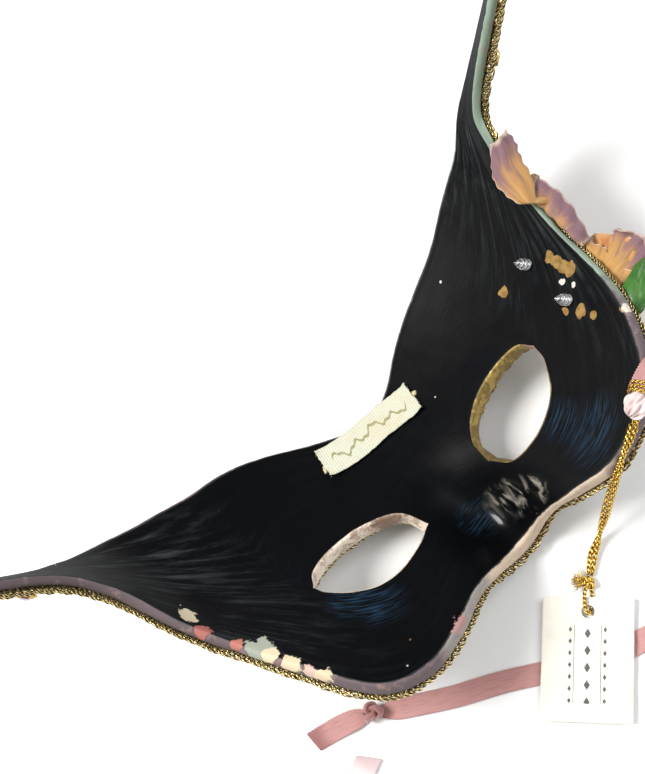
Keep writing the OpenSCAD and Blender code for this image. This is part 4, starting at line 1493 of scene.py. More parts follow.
@dataclass
class Flowers:
    """Two cloth flowers on the right of the front, their leaves, and the plate and screws that
    hold them."""
    shop: Workshop
    upper: tuple = (77.0, 38.0)
    lower: tuple = (75.0, 1.0)
    screws: tuple = (67.0, 10.5)
    screw_pitch: float = 21.0
    PETAL_FAR = ((((78, 35, 26), (79, 32, 26), (80, 29, 26.5)),
        ((88.5, 29.5, 30), (89, 27.5, 31), (88.5, 25.5, 31)),
        ((86.3, 27.8, 40), (87.6, 25.8, 38.5), (88.2, 24.6, 36.5)),
        ((79.9, 28.5, 44.5), (81.7, 26.9, 44.5), (84.5, 27, 41.5)),
        ((78.6, 33.5, 46), (83.2, 32.8, 46.5), (89.8, 34.2, 42.5)),
        ((79.8, 40.3, 46), (85.3, 40.2, 47), (92.9, 41.4, 43)),
        ((83.2, 44.9, 46), (88.5, 44.3, 47.5), (95.8, 46.3, 43.5)),
        ((88.1, 48.3, 47), (91.2, 48.6, 48), (95.5, 50.6, 45))), (-0.25, 1.0))
    PETAL_LONG = ((((77, 10, 28), (79, 21, 27.5), (80, 30, 27)),
        ((84.5, 8, 33), (87.5, 21, 33), (89, 32, 34)),
        ((81, 6.6, 38.5), (83.2, 19.6, 38.5), (84.7, 30.8, 40)),
        ((82.8, 6.1, 38), (86.2, 19.6, 39.5), (87.9, 33.2, 41)),
        ((85.1, 6.6, 36), (90.5, 21.7, 37.5), (91.1, 35, 41))), (0.1, 1.0))
    PETAL_SMALL = ((((75, -1, 31), (75, 3, 30), (75, 6, 30)),
        ((80.2, -1.6, 36), (79.2, 2.5, 36), (79.6, 7.2, 36)),
        ((82.7, -1, 37), (82, 2.5, 37.5), (81.1, 7.2, 37)),
        ((85.3, 0.1, 36.5), (84.8, 4, 36.5), (83, 8.8, 36))), (0.0, 0.40))
    PETAL_NEAR = ((((74, -6, 31), (73, -2, 31), (73, 2, 30)),
        ((77.6, -10.6, 36), (77.9, -5, 36), (80.6, -0.2, 36)),
        ((82.7, -10.2, 37), (83.4, -5.9, 38), (85.4, 0.1, 38)),
        ((88.1, -11.4, 37.5), (89.2, -5.4, 38.5), (90.1, 2.3, 39)),
        ((91.3, -10.4, 37.5), (94.2, -6, 38.5), (91.6, 1.4, 40))), (0.0, 0.92))
    LEAF_NEAR = ((((68, -19, 34), (67, -16, 34), (67, -12, 34)),
        ((76, -21.7, 38), (74.5, -17.8, 38.4), (75.8, -11.5, 38)),
        ((80.8, -18.6, 38.6), (80, -15.6, 39.3), (79.6, -11.4, 38.6)),
        ((85.7, -14.2, 39), (85.3, -12.9, 39.4), (85.3, -10.8, 39)),
        ((89, -12.3, 39.6), (89, -12.1, 39.7), (89.1, -11.9, 39.6))), (0.0, 1.0))

    def petal(self, draft: Draft, place: tuple[float, float], p: Petal, thick: float = 0.45) -> None:
        """Adds a petal.

        Its half width is a power of a sine from heart to rim. It drops away from the front as a
        parabola, curls back with the cube of the distance out, is cupped across as a square, and
        its rim is ruffled by sines.

        Args:
            draft: Where it is added.
            place: Heart of the flower in plan.
            p: The petal.
            thick: Thickness of the cloth.
        """
        v, u = net(np.linspace(0, 1, 26), np.linspace(-1, 1, 21))
        width = p.half_w * (0.10 + 0.90 * np.sin(np.pi * np.clip(v * 0.93 + 0.035, 0, 1) ** 1.25) ** 0.62)
        out = p.start + (p.reach - p.start) * v * (1 - 0.10 * u ** 2 * v)
        side = width * u + 0.5 * ripple(v * 20, u * 8, 9.0, p.seed) * v
        ruffle = 1.1 * v ** 2 * np.sin(5.0 * u + p.seed) * np.abs(u) + 0.5 * ripple(v * 14, u * 14, 8.0, p.seed)
        drop = p.cup * (u ** 2 * v * 0.8 + v ** 2 * 0.4) - p.curl * v ** 3 + ruffle
        local = turned(out, side, -p.turn, drop)
        rim = np.maximum(v, np.abs(u) * smooth(v * 4))
        slab(draft, FORM.seat(*place, p.lift).put(local), thick, pair(u, v), 0, rim)

    def sheet(self, draft: Draft, sheet: Sheet, thick: float = 0.4) -> None:
        """Adds a petal given as listed rows of places.

        A smooth surface through the rows of places, first along the rows and then across them. Its
        side edges are scalloped by sines, its surface is lifted by ripples that grow outwards,
        and its far edge rolls over as a tenth power.

        Args:
            draft: Where it is added.
            sheet: The petal.
            thick: Thickness of the cloth.
        """
        grid = np.array(sheet.rows, float)
        count = len(grid)
        v = np.linspace(0, 1, 12 * count - 8)
        u = np.linspace(-1, 1, 25)
        lines = [spline(grid[:, k], v * (count - 1), *beyond(grid[:, k])) for k in range(3)]
        stack = np.stack(lines).reshape(3, -1)
        points = spline(stack, u + 1, *beyond(stack)).reshape(len(u), len(v), 3).transpose(1, 0, 2)
        vv, uu = net(v, u)
        middle = points[:, len(u) // 2][:, None]
        tooth = 1 + np.sin(sheet.waves * 2.3 * vv * np.pi + 2 * uu + sheet.seed)
        notch = 1 - sheet.scallop * np.abs(uu) ** 3 * tooth
        points = middle + (points - middle) * notch[..., None]
        along, across = np.gradient(points, axis=0), np.gradient(points, axis=1)
        normal = unit(np.cross(along, across))
        normal = normal * np.sign(normal[len(v) // 2, len(u) // 2, 2] + 1e-9)
        frill = np.sin(sheet.waves * uu + sheet.seed) * vv + 0.6 * ripple(vv * 22, uu * 9, 8.0, sheet.seed)
        frill = smooth(vv * 1.6) * frill - 0.25 * np.cos(np.pi * uu) * vv
        lift = sheet.ruffle * frill + sheet.roll * vv ** 10
        points = points + lift[..., None] * normal
        low, high = sheet.span
        rim = np.maximum(vv, np.abs(uu) * smooth(vv * 3))
        slab(draft, points, thick, pair(uu, low + (high - low) * vv), 0, rim)

    def flower(self, name: str, place: tuple[float, float], petals: Sequence["Petal | Sheet"],
               crown: Sequence[Petal]) -> None:
        """Builds a flower: outer petals, inner crown, heart; the stem keeps its plain form."""
        outer, inner, heart = Draft(), Draft(), Draft()
        for p in petals:
            if isinstance(p, Sheet):
                self.sheet(outer, p)
            else:
                self.petal(outer, place, p)
        for p in crown:
            self.petal(inner, place, p, 0.4)
        seat = FORM.seat(*place, 5.3)
        a, z = np.meshgrid(turns(36), np.linspace(0, 1, 14))
        knobs = 1 + 0.10 * np.sin(9 * a + 14 * z) * np.sin(17 * z)
        dome = polar(2.6 * np.sqrt(np.clip(1 - z ** 2.4, 0.0004, 1)) * knobs, a, 2.4 * z)
        foot = dome[:1] * [0.01, 0.01, 1]
        heart.add(seat.put(np.concatenate([foot, dome])), grid_faces(15, 36, wrap_cols=True))
        stamen_r = np.array([0.12, 0.12, 0.12, 0.14, 0.3, 0.26])
        along = np.linspace(0, 1, 6)
        for k in range(14):
            line = polar(1.3 + 1.6 * along, 2.4 * k, 1.8 + 1.5 * along)
            tube(heart, seat.put(line), seat.axes[:, 2] + [0.1, 0.2, 0.3], stamen_r, 6)
        settle(outer, name + "_petals_cut", [self.shop.petal], name + "_petals")
        settle(inner, name + "_crown_cut", [self.shop.crown], name + "_crown")
        settle(heart, name + "_heart", [self.shop.heart], name + "_centre", merge=0.01)

    def leaf(self, name: str, place: tuple[float, float], turn: float, size: tuple[float, float],
             rise: float) -> None:
        """Builds a pointed leaf: a grid whose half width is a sine power, folded along its midrib."""
        v, u = net(np.linspace(0, 1, 34), np.linspace(-1, 1, 15))
        width = size[1] / 2 * (0.03 + 0.97 * np.sin(np.pi * v ** 0.8) ** 0.85)
        width = width * (1 + 0.05 * np.sin(v * 60) * np.abs(u))
        fold = 1.6 * np.abs(u) * np.sin(np.pi * v) - rise * v ** 2 + 0.4 * np.sin(9 * v + 2 * u)
        draft = Draft()
        local = turned(size[0] * v, width * u, turn, fold + 0.8)
        slab(draft, FORM.seat(*place, 0.9).put(local), 0.4, pair(u, v))
        settle(draft, name + "_waxed", [self.shop.leaf], name)

    def screw_pair(self) -> None:
        """Builds two wood screws: slotted heads, shanks with a spiral ridge, drawn-out points.

        The ridge is a triangle wave of the depth less the angle; the point tapers as a power.
        """
        lift, tip, pitch, sides = 2.7, 3.7, 1.55, 24
        shank = lift + float(FORM.wall(np.array(self.screws[0]))) + 2.6
        depth = np.linspace(0, shank + tip, 220)[:, None]
        a = turns(sides)[None]
        taper = np.clip((shank + tip - depth) / tip, 0.02, 1) ** 0.72
        tooth = 1 - np.abs(((depth / pitch - a / (2 * np.pi)) % 1.0) * 2 - 1)
        body = polar((1.25 + 0.75 * tooth ** 1.8) * taper, a, -depth)
        head = np.array([[0.02, 1.2], [1.6, 1.15], [2.4, 0.8], [2.6, 0.3], [2.5, 0.0]])
        top = polar(head[:, :1], a, head[:, 1:])
        top[..., 2] -= 0.5 * ((np.abs(top[..., 1]) < 0.42) & (top[..., 2] > 0.5))
        whole = np.concatenate([top, body, body[-1:] * [0.01, 0.01, 1]])
        soot = (1 - tooth) * (depth < shank - 1.0)
        tone = np.concatenate([np.zeros(top.shape[:2]), soot, np.zeros((1, sides))])
        draft, seat = Draft(), FORM.seat(*self.screws, lift)
        for end in (-1, 1):
            draft.add(seat.put(whole + [0, end * self.screw_pitch / 2, 0]),
                      grid_faces(len(whole), sides, wrap_cols=True), None, 0, tone.ravel())
        settle(draft, "flower_screws_cut", [self.shop.steel], "flower_screws", merge=0.01)

    def crown(self, turn: float, seed: float, step: float) -> list[Petal]:
        """Five small petals a fifth of a turn apart."""
        return [Petal(turn + 72 * k, 13.0, 6.4, -2.0, 2.4, 5.0, seed=k * step + seed) for k in range(5)]

    def build(self) -> None:
        """Builds both flowers, both leaves, the plate and the screws."""
        upper = [Sheet(*self.PETAL_FAR, ruffle=0.45, seed=0.4, roll=1.4),
                 Sheet(*self.PETAL_LONG, waves=14.0, seed=1.1),
                 Petal(120, 21, 10.5, 2, 3, 4.2, seed=2.9), Petal(190, 21, 10.5, 2, 3, 3.4, seed=4.1),
                 Petal(262, 20, 10, 2.5, 3, 4.4, seed=5.2)]
        lower = [Sheet(*self.PETAL_NEAR, ruffle=0.6, seed=2.0, roll=1.0),
                 Sheet(*self.PETAL_SMALL, ruffle=0.35, seed=2.2),
                 Petal(110, 20, 10, 2, 3, 4.4, seed=3.3), Petal(182, 21, 10.5, 2, 3, 3.4, seed=4.6),
                 Petal(254, 21, 10, 2, 3, 4.2, seed=5.8)]
        self.flower("flower_upper", self.upper, upper, self.crown(12, 0.0, 1.3))
        self.flower("flower_lower", self.lower, lower, self.crown(-8, 0.5, 1.7))
        near = Draft()
        self.sheet(near, Sheet(*self.LEAF_NEAR, ruffle=0.25, waves=4.0, scallop=0.03))
        settle(near, "leaf_lower_waxed", [self.shop.leaf], "leaf_lower")
        self.leaf("leaf_upper", (64.0, 34.0), -112.0, (24.0, 13.0), 0.5)
        self.screw_pair()
        for node, finish in (("flower_plate", self.shop.plate), ("flower_upper_stem", self.shop.stem),
                             ("flower_lower_stem", self.shop.stem)):
            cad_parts[node].material_slots[0].material = finish
            log.info("%s: plain form kept, dressed as %s", node, finish.name)


@dataclass
class Label:
    """Woven tape glued inside the forehead, with wavy edges, frayed ends and dabs of glue."""
    shop: Workshop
    at: tuple = (-3.5, 33.5)
    turn: float = math.radians(-12)
    length: float = 38.0
    width: float = 12.0

    def on_shell(self, a: Array, b: Array, lift: Array | float) -> Array:
        """Places along (a) and across (b) the tape, lifted off the inside face."""
        c, s = math.cos(self.turn), math.sin(self.turn)
        q = np.stack([self.at[0] + a * c - b * s, self.at[1] + a * s + b * c], axis=-1)
        return FORM.below(q, -np.broadcast_to(np.asarray(lift, float), a.shape))

    def tape(self) -> None:
        """Builds the tape and its loose threads: a sheet with wavy edges and lifted corners."""
        v, u = net(np.linspace(-0.5, 0.5, 90), np.linspace(-0.5, 0.5, 22))
        a = v * self.length + 0.35 * ripple(v * 9, u * 40, 9.0, 1.0) * (np.abs(v) > 0.49)
        b = u * (self.width + 0.35 * ripple(v * 90, u * 0, 9.0, 3.0)) + 0.35 * np.sin(v * 9)
        to_side, to_end = np.abs(u) * 2, np.abs(v) * 2
        lift = 0.85 + 0.22 * ripple(a, b, 11.0, 0.7) + 1.3 * to_side ** 6 * to_end ** 9 + 0.35 * to_end ** 12
        draft = Draft()
        slab(draft, self.on_shell(a, b, lift), 0.32, pair(a, b))
        rng = np.random.default_rng(7)
        s = np.linspace(0, 1, 6)
        for k in range(22):
            end = -1 if k % 2 else 1
            b0 = (rng.random() - 0.5) * self.width * 0.96
            reach = 0.3 + 0.5 * rng.random()
            line_a = end * (self.length / 2 + reach * s - 0.3)
            line_b = b0 + (rng.random() - 0.5) * 1.3 * s ** 2
            path = self.on_shell(line_a, line_b, 0.95 + (rng.random() - 0.2) * 0.8 * s)
            tube(draft, path, (0.0, 0.1, 1.0), 0.07, 5)
        settle(draft, "label_tape", [self.shop.tape], "label_strip")

    def glue(self) -> None:
        """Builds the dabs: low domes whose outline swells by sines, closed underneath."""
        glue = Draft()
        theta, rho = np.meshgrid(turns(28), np.linspace(0.02, 1, 9))
        for side in (-1, 1):
            r = rho * (0.95 + 0.28 * np.sin(2 * theta + side) + 0.14 * np.sin(5 * theta))
            a = side * (self.length / 2 + 0.3) + r * np.cos(theta)
            b = r * np.sin(theta) * 1.3 + side * 1.0
            top = self.on_shell(a, b, np.sqrt(np.clip(1 - rho ** 2, 0, 1)) - 0.03)
            glue.add(top[::-1], grid_faces(9, 28, wrap_cols=True))
            middle = self.on_shell(a[-1:] * 0 + a[-1:].mean(), b[-1:] * 0 + b[-1:].mean(), -0.3)
            glue.add(np.concatenate([top[-1:], middle]), grid_faces(2, 28, wrap_cols=True))
        settle(glue, "label_glue_dabs", [self.shop.glue], "label_glue", merge=0.05)

    def build(self) -> None:
        """Builds the tape and the glue."""
        self.tape()
        self.glue()


# ---------------------------------------------------------------- cords

RIGHT_ROUTE = np.array([
    [54, -39, 43.5, 25], [62, -37, 43, 15], [71, -36, 37, 5], [79, -37, 26, 0], [86, -40, 14, 0],
    [94, -45, 5.5, 30], [103, -54, 4.8, 80], [109, -66, 4.8, 90], [109, -79, 4.8, 90],
    [102, -91, 4.8, 90], [90, -99, 4.8, 90], [76, -101, 4.8, 85], [60, -98, 3.9, 50],
    [44, -91, 1.9, 15], [28, -85, 0.6, 0], [12, -80, 0.6, 0], [-4, -74, 0.6, 0],
    [-20, -64, 0.6, 0], [-35, -53, 0.6, 0], [-49, -44, 0.7, 0], [-61, -35, 0.9, 0],
    [-70, -28, 1.2, 0], [-79, -23, 0.8, 0], [-90, -19, 0.6, 0]], float)
LEFT_ROUTE = np.array([
    [-66, 10, 20, 0], [-63, 19, 11, 0], [-57, 27, 4, 0], [-47, 32, 1, 0], [-34, 34, 0.6, 0],
    [-18, 34, 0.6, 0], [0, 34, 0.6, 0], [18, 34, 0.6, 0], [34, 33, 0.6, 0], [50, 30, 0.6, 0],
    [66, 25, 0.6, 0], [81, 17, 0.6, 0], [95, 7, 2.3, 20], [108, -6, 4.2, 55],
    [118, -22, 4.8, 85], [124, -40, 4.8, 90], [125, -59, 4.8, 90], [121, -78, 4.8, 90],
    [112, -96, 4.8, 90], [98, -111, 4.8, 90], [79, -121, 4.8, 90], [57, -126, 4.8, 90],
    [34, -128, 4.8, 90], [11, -127, 4.8, 90], [-12, -123, 4.8, 90], [-34, -115, 4.8, 90],
    [-54, -104, 4.8, 90], [-72, -91, 4.8, 90], [-86, -76, 4.8, 80], [-94, -61, 4.3, 55],
    [-96, -48, 3, 30], [-91, -40, 1.5, 10], [-81, -36, 0.7, 0]], float)
CORD_ROUTE = np.array([
    [45.5, -43.5, 40.5], [41, -44.8, 38.6], [36, -45.6, 34], [31, -46, 27], [26, -46, 18],
    [22, -46, 10], [18.5, -46.3, 4.5], [15.5, -47, 2.2], [12.5, -48, 1.8],
    [9.6, -49.8, 1.8], [6.7, -51.6, 1.8]], float)


def plies(draft: Draft, path: Array, radius: float, pitch: float, count: int = 2, start: float = 0.0) -> None:
    """Adds a twisted yarn: plies that wind round a path as helices.

    Args:
        draft: Where it is added.
        path: Points close together along the yarn.
        radius: Outer radius of the yarn.
        pitch: Length of one turn.
        count: Number of plies.
        start: Angle of the first ply.
    """
    s = arc_lengths(path)[:, None]
    _, side, up = frames(path, SKEW)
    for k in range(count):
        a = 2 * np.pi * (s / pitch + k / count) + start
        out = np.cos(a) * side + np.sin(a) * up
        tube(draft, path + 0.5 * radius * out, out, 0.54 * radius, 8)


@dataclass
class Ribbon:
    """A tie ribbon: satin with picot edges, along a route that tilts it from flat.

    A knot pinches it at a distance along it, and its anchor at its start.
    """
    hand: str
    slot: str
    route: Array
    finish: Material
    half_w: float = 4.1
    thick: float = 0.28
    picot: float = 0.85
    pinch_at: float = -1.0
    crumple: float = 0.25

    def line(self) -> Array:
        """Places and tilts along the smooth route, evenly spaced."""
        return resample(route_spline(self.route, 24), 0.21)

    def build(self) -> Thing:
        """Builds the ribbon.

        A point lies across the path by its share of the half width. The half width swells by a
        sine at the picots' pitch, and narrows by a bell curve where a knot pinches it. Long ripples
        lift the middle against the edges.

        Returns:
            The ribbon.
        """
        line = self.line()
        path, tilt = line[:, :3], np.radians(line[:, 3:])
        s = arc_lengths(path)[:, None]
        _, side, up = frames(path, LEVEL)
        tangent, side, normal = frames(path, np.cos(tilt) * up + np.sin(tilt) * side)
        cols = np.array([[-1.0, -0.93, -0.72, -0.4, 0.0, 0.4, 0.72, 0.93, 1.0]])
        fold = 0.74 * np.exp(-((s - self.pinch_at) / 4.2) ** 2)
        edge = 1 + 0.085 * np.maximum(np.sin(2 * np.pi * s / self.picot), -0.2)
        width = self.half_w * (1 - fold) * np.where(np.abs(cols) > 0.95, edge, 1.0)
        slope = (1 - np.clip((s[-1] - s) / 2.2, 0, 1)) * (cols * 0.9)
        wave = self.crumple * (ripple(s, cols * 5, 13.0, 1.0) + 0.5 * ripple(s, cols * 9, 5.0, 2.2)) \
            + fold * 0.9 * np.sin(cols * 9) + 0.30 * cols ** 2 * np.sin(s / 7.0)
        grid = path[:, None] + (width * cols)[..., None] * side[:, None] \
            + wave[..., None] * normal[:, None] + slope[..., None] * tangent[:, None]
        grid[..., 2] = np.maximum(grid[..., 2], self.thick + 0.05)
        # darker over the last few millimetres as worn ends, and as painted shade where the knot pinches the
        # right ribbon and the anchor gathers the left one's start
        worn = np.maximum(0.9 * smooth((s - s[-1] + 7) / 6), 0.5 * fold)
        draft = Draft()
        slab(draft, grid, self.thick, pair(s, self.half_w * cols), 0, worn)
        return settle(draft, "tie_ribbon_" + self.hand, [self.finish], "ribbon_" + self.hand)

    def declare(self, piece: Thing, extras: Sequence) -> None:
        """Resamples the ribbon's route every 3 mm and does nothing more with it.

        Args:
            piece: The ribbon; not used.
            extras: Pieces that go with it; not used.
        """
        line = resample(self.line(), 3.0)


@dataclass
class Ties:
    """Both tie ribbons with the puff and the knot of the right one and the anchor of the left."""
    shop: Workshop
    puff_at: tuple = (50.5, -41.0, 43.4)
    knot_at: tuple = (-70.0, -28.0, 3.1)

    def puff(self) -> Thing:
        """Builds the gathered puff: a ball whose radius is pleated by sines of the angle round it, and whose
        tone paints shade into the pleats' valleys, where the radius is smaller.
        """
        a, b = np.meshgrid(turns(120), np.linspace(0.01, np.pi - 0.01, 60))
        pleat = 0.80 + 0.13 * np.sin(7 * a + 1.3 * np.sin(2 * b)) * np.sin(b) \
            + 0.08 * np.sin(13 * a + 3 * b) + 0.14 * np.sin(2 * a + 0.7) * np.sin(b) ** 2
        r = 4.9 * pleat
        local = polar(r * np.sin(b), a, r * np.cos(b)) * [1, 0.85, 1]
        tilt = Matrix.Rotation(math.radians(68), 3, "Y") @ Matrix.Rotation(math.radians(25), 3, "Z")
        draft = Draft()
        # tone: painted shade, darker where the pleated radius is smaller
        draft.add(Seat(np.array(self.puff_at), np.array(tilt)).put(local), grid_faces(60, 120, wrap_cols=True),
                  pair(a * 4, b * 4), 0, (0.5 - 0.5 * (pleat - 0.6) / 0.4).ravel())
        return settle(draft, "puff_gathered", [self.shop.blush], "ribbon_right_puff", merge=0.08)

    def knot(self) -> Thing:
        """Builds the knot: a flattened trefoil of folded ribbon, drawn tight, its satin darkened throughout as
        painted shade.
        """
        t = turns(180)
        flat = trefoil(t) * [1.0, 0.80, 0.95]
        core = turned(flat[:, 0], flat[:, 1], 151, flat[:, 2])
        _, side, out = frames(core, unit(core * [1, 1, 0.4]), closed=True)
        a, t = turns(16)[None, :, None], t[:, None, None]
        crease = 1 + 0.10 * np.sin(5 * a + 3 * t)
        rings = core[:, None] + crease * (1.75 * np.cos(a) * side[:, None] + 0.85 * np.sin(a) * out[:, None])
        draft = Draft()
        # the tone of 0.45 darkens the whole knot as painted shade
        draft.add(np.array(self.knot_at) + [0, 0, 0.5] + rings, grid_faces(180, 16, True, True),
                  pair(t * 5, a * 1.2), 0, 0.45)
        return settle(draft, "ribbon_knot_tied", [self.shop.pink], "ribbon_right_knot")

    def anchor(self) -> Thing:
        """Builds the left tie's anchor: a round patch of satin pleated towards its middle."""
        a, v = np.meshgrid(turns(96), np.linspace(0.02, 1, 16))
        r = 5.4 * v * (1 + 0.035 * np.sin(24 * a) * v)
        front = polar(r, a, 0.45 + 0.75 * (1 - v) + 0.22 * np.sin(12 * a) * np.sin(np.pi * v))
        ring = np.concatenate([front, front[::-1] * [1, 1, 0]])
        draft = Draft()
        draft.add(FORM.seat(-66, 8, 0.3).put(ring), grid_faces(32, 96, wrap_cols=True),
                  pair(np.concatenate([r, r[::-1]]), np.concatenate([a, a]) * 6))
        return settle(draft, "anchor_pleated", [self.shop.pink], "ribbon_left_anchor", merge=0.15)

    def build(self) -> None:
        """Builds both ribbons, the right one's puff and knot, and the left one's anchor."""
        path = route_spline(RIGHT_ROUTE, 24)
        near = np.argmin(np.linalg.norm(path[:, :2] - np.array(self.knot_at[:2]), axis=1))
        pinch = arc_lengths(path)[near]
        right = Ribbon("right", "pink_satin", RIGHT_ROUTE, self.shop.pink, half_w=3.4, pinch_at=pinch)
        right.declare(right.build(), [self.puff(), self.knot()])
        left = Ribbon("left", "pale_satin", LEFT_ROUTE, self.shop.pale, half_w=3.9, crumple=0.42)
        left.declare(left.build(), [self.anchor()])


@dataclass
class SwingTag:
    """The card on its doubled gold cord, with hitch, knot, tuft and loop."""
    shop: Workshop
    knot_at: tuple = (4.6, -52.9, 1.8)
    turn: float = -50.7
    gap: float = 4.5
    rest_z: float = 1.3
    width: float = 28.0
    height: float = 38.0
    thick: float = 0.5
    hole_in: float = 4.5
    hole_r: float = 2.0
    strand_r: float = 0.78

    def on_tag(self, local: Array) -> Array:
        """Local places, with the knot as origin and the card down -Y, to design millimetres."""
        placed = turned(local[..., 0], local[..., 1], self.turn, local[..., 2])
        return placed + [self.knot_at[0], self.knot_at[1], 0.0]

    def tie(self, draft: Draft, name: str, node: str, body: str) -> Thing:
        """Hands over a piece of the gold cord."""
        return settle(draft, name, [self.shop.cord_gold], node, body)

    def cord(self) -> Thing:
        """Builds the doubled cord: two yarns that wind loosely round the route."""
        line = resample(route_spline(CORD_ROUTE, 20), 0.16)
        s = arc_lengths(line)[:, None]
        _, side, up = frames(line, LEVEL)
        draft = Draft()
        for k in (0, 1):
            a = np.pi * k + 0.7 * np.sin(s / 9.0) + s * 0.12
            strand = line + self.strand_r * (np.cos(a) * side + 0.8 * np.sin(a) * up)
            plies(draft, strand, self.strand_r, 3.3, 2, 1.1 * k)
        return self.tie(draft, "tag_cord_twisted", "tag_cord", "mask")

    def hitch(self) -> Thing:
        """Builds the hitch: three turns of yarn round the gathered puff."""
        t = np.linspace(0, 2 * np.pi * 2.6, 520)
        turn = Matrix.Rotation(math.radians(22), 3, "Z") @ Matrix.Rotation(math.radians(90), 3, "Y")
        seat = Seat(np.array([54.4, -39.2, 43.4]), np.array(turn))
        draft = Draft()
        plies(draft, seat.put(polar(3.35, t, 0.21 * (t - t.mean()))), 0.55, 3.0)
        tail = np.array([[52.0, -41.0, 45.2], [49.5, -42.6, 43.6], [47.4, -43.2, 41.8], CORD_ROUTE[0]])
        for off in (-0.55, 0.55):
            plies(draft, route_spline(tail, 30) + [0.3 * off, off, 0.2 * off], 0.55, 3.0)
        return self.tie(draft, "cord_hitch_wound", "tag_cord_hitch", "mask")

    def knot(self) -> Thing:
        """Builds the overhand knot: a trefoil of yarn, drawn tight."""
        draft = Draft()
        core = 0.52 * trefoil(np.linspace(0, 2 * np.pi, 260))
        plies(draft, np.array(self.knot_at) + [0, 0, 0.1] + core, 0.84, 3.0)
        return self.tie(draft, "cord_knot_tied", "tag_knot", "tag_knot")

    def tuft(self) -> Thing:
        """Builds the frayed tuft: loose filaments that fan out and droop as parabolas."""
        rng = np.random.default_rng(3)
        heading = math.radians(self.turn + 172)
        s = np.linspace(0, 1, 8)
        draft = Draft()
        for _ in range(64):
            spread = np.clip(rng.normal(), -1.6, 1.6) * 0.34
            reach = 2.4 + 2.2 * rng.random()
            lift = rng.normal() * 1.1 + 0.6
            sway = rng.normal() * s ** 2
            height = np.maximum(lift * s - 0.9 * s ** 2, 0.15 - self.knot_at[2])
            path = turned(0.9 + reach * s, sway, math.degrees(heading + spread), height)
            tube(draft, np.array(self.knot_at) + path, (0.1, 0.2, 1.0), 0.10, 5)
        return self.tie(draft, "cord_tuft_frayed", "tag_tuft", "tag_knot")

    def loop(self) -> Thing:
        """Builds the loop of yarn that runs from the knot through the card's hole and back."""
        far, high, low = self.gap + self.hole_in, self.rest_z + self.thick + 0.75, 0.66
        knot_z, mid = self.knot_at[2], -0.7 * self.gap
        route = np.array([[-0.1, -1.2, knot_z + 0.5], [-1.0, mid, high + 0.3], [-0.7, -far + 1, high],
                          [0, -far - 0.5, (high + 0.6) / 2], [0.6, -far + 0.6, low], [0.9, mid, low],
                          [0.1, -1.2, knot_z - 0.5]])
        draft = Draft()
        plies(draft, self.on_tag(resample(route_spline(route, 30), 0.16)), 0.62, 2.8)
        return self.tie(draft, "tag_loop_twisted", "tag_loop", "tag")

    def card(self) -> Thing:
        """Builds the card: rings of points that blend from the punched hole out to the trimmed
        edge, with rounded arrises, and a slight bow.

        Returns:
            The card.
        """
        w, h = self.width / 2, self.height / 2
        xs, ys = np.linspace(-w, w, 48, endpoint=False), np.linspace(-h, h, 64, endpoint=False)
        rim = np.concatenate([pair(xs, -h), pair(w, ys), pair(-xs, h), pair(-w, -ys)])
        wear = 0.10 * ripple(rim[:, 0], rim[:, 1], 6.0)[:, None] * unit(rim)
        corner = smooth((np.abs(rim[:, :1]) / w + np.abs(rim[:, 1:]) / h - 1.93) / 0.07)
        rim = rim * (1 - 0.012 * corner) + wear
        hole = np.array([0.0, h - self.hole_in])
        bore = hole + self.hole_r * unit(rim - hole)
        f = np.concatenate([[0, 0.006], np.linspace(0.03, 0.992, 26), [1.0]])[:, None, None]
        flat = bore * (1 - f) + rim * f
        bow = 0.22 * (flat[..., :1] / w) ** 2 + 0.30 * (flat[..., 1:] / h) ** 4 - 0.05
        arris = 0.10 * ((f < 0.001) | (f > 0.999))
        place = flat - [0, self.gap + h]
        top = np.concatenate([place, self.rest_z + self.thick + bow - arris], axis=-1)
        low = np.concatenate([place, self.rest_z + bow + arris], axis=-1)
        ring = np.concatenate([top, low[::-1]])
        uv = np.concatenate([flat, flat[::-1] * [1, 0] + [0, 60.0]])
        draft = Draft()
        draft.add(self.on_tag(ring), grid_faces(*ring.shape[:2], wrap_rows=True, wrap_cols=True), uv)
        return settle(draft, "tag_card_cut", [self.shop.card], "tag_card", "tag")

    def build(self) -> None:
        """Builds the tag: its cord, hitch, knot, tuft, loop and card."""
        cord = self.cord()
        line = resample(route_spline(CORD_ROUTE, 20), 2.0)
        extras = [self.hitch(), self.knot(), self.tuft(), self.loop(), self.card()]


# ---------------------------------------------------------------- studio

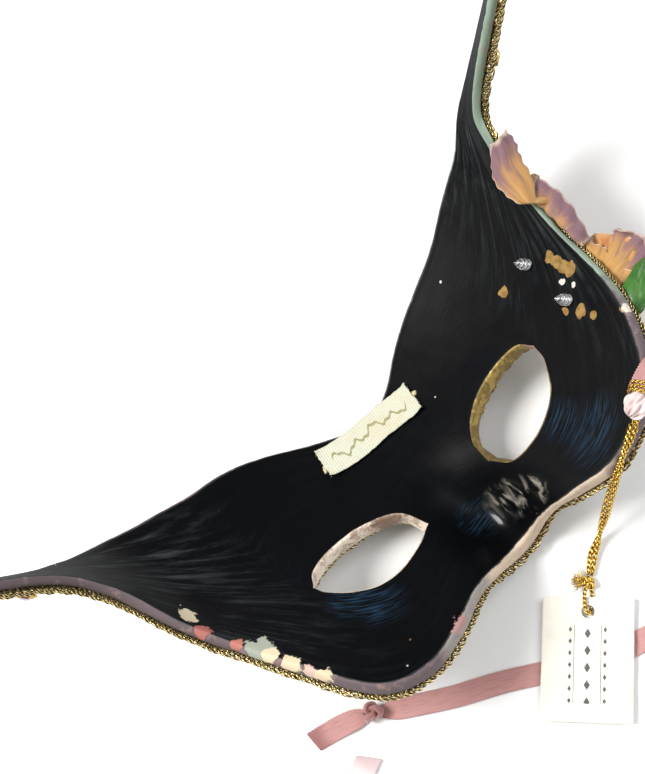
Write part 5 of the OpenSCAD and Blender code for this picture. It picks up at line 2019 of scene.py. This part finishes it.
@dataclass
class Studio:
    """Floor, soft lights and camera."""
    target: tuple = (-0.00256, 0.04063, 0.020)
    place: tuple = (-0.02586, -0.18351, 0.44381)
    right: tuple = (0.6588, -0.6795, -0.3232)
    up: tuple = (0.7509, 0.5659, 0.3406)
    back: tuple = (-0.0485, -0.4670, 0.8829)
    lens: float = 67.42

    def camera(self) -> None:
        """Adds the camera: its axes are the image's right and up, and the way back to it."""
        data = bpy.data.cameras.new("view")
        data.lens, data.sensor_width, data.sensor_fit = self.lens, 36.0, "AUTO"
        data.clip_start, data.clip_end = 0.01, 20.0
        cam = bpy.data.objects.new("view", data)
        rows = [[self.right[k], self.up[k], self.back[k], self.place[k]] for k in range(3)]
        cam.matrix_world = Matrix(rows + [[0, 0, 0, 1]])
        bpy.context.scene.collection.objects.link(cam)
        bpy.context.scene.camera = cam

    def light(self, name: str, place: Sequence[float], size: float, power: float, colour: Colour) -> None:
        """Adds a square soft light that points at the mask."""
        data = bpy.data.lights.new(name, "AREA")
        data.size, data.energy, data.color = size, power, colour
        lamp = bpy.data.objects.new(name, data)
        lamp.location = place
        lamp.rotation_euler = (Vector(self.target) - Vector(place)).to_track_quat("-Z", "Y").to_euler()
        bpy.context.scene.collection.objects.link(lamp)

    def floor(self) -> None:
        """Adds the pale floor, a wide grid just under the model."""
        x, y = net(np.linspace(-2600, 2600, 9), np.linspace(-2600, 2600, 9))
        draft = Draft()
        draft.add(np.stack([x, y, 0 * x - 0.02], axis=-1), grid_faces(9, 9)[:, ::-1])
        g = Graph("floor_paint")
        tint = g.blend((0.90, 0.90, 0.90), (0.87, 0.875, 0.88), g.grain(3.0))
        ground = draft.build("floor", [g.finish(Base_Color=tint, Roughness=0.9, Specular_IOR_Level=0.1)])

    def build(self) -> None:
        """Sets up the studio."""
        self.camera()
        self.floor()
        self.light("key", (-0.55, 0.45, 1.05), 0.55, 19.0, (1.0, 0.98, 0.95))
        self.light("fill", (0.75, -0.55, 0.95), 0.9, 11.0, (0.96, 0.98, 1.0))
        world = bpy.data.worlds.new("studio")
        world.use_nodes = True
        ground = world.node_tree.nodes["Background"]
        ground.inputs[0].default_value, ground.inputs[1].default_value = (1.0, 1.0, 1.0, 1.0), 0.36
        bpy.context.scene.world = world
        bpy.context.scene.view_settings.view_transform = "Standard"


def main() -> None:
    """Builds the studio, the cords and every piece in order."""
    logging.basicConfig(level=logging.INFO, format="%(message)s")
    Studio().build()
    shop = Workshop()
    Ties(shop).build()
    SwingTag(shop).build()
    for piece in (Shell(shop), Braids(shop), Stones(shop), Flowers(shop), Label(shop)):
        piece.build()


if __name__ == "__main__":
    main()
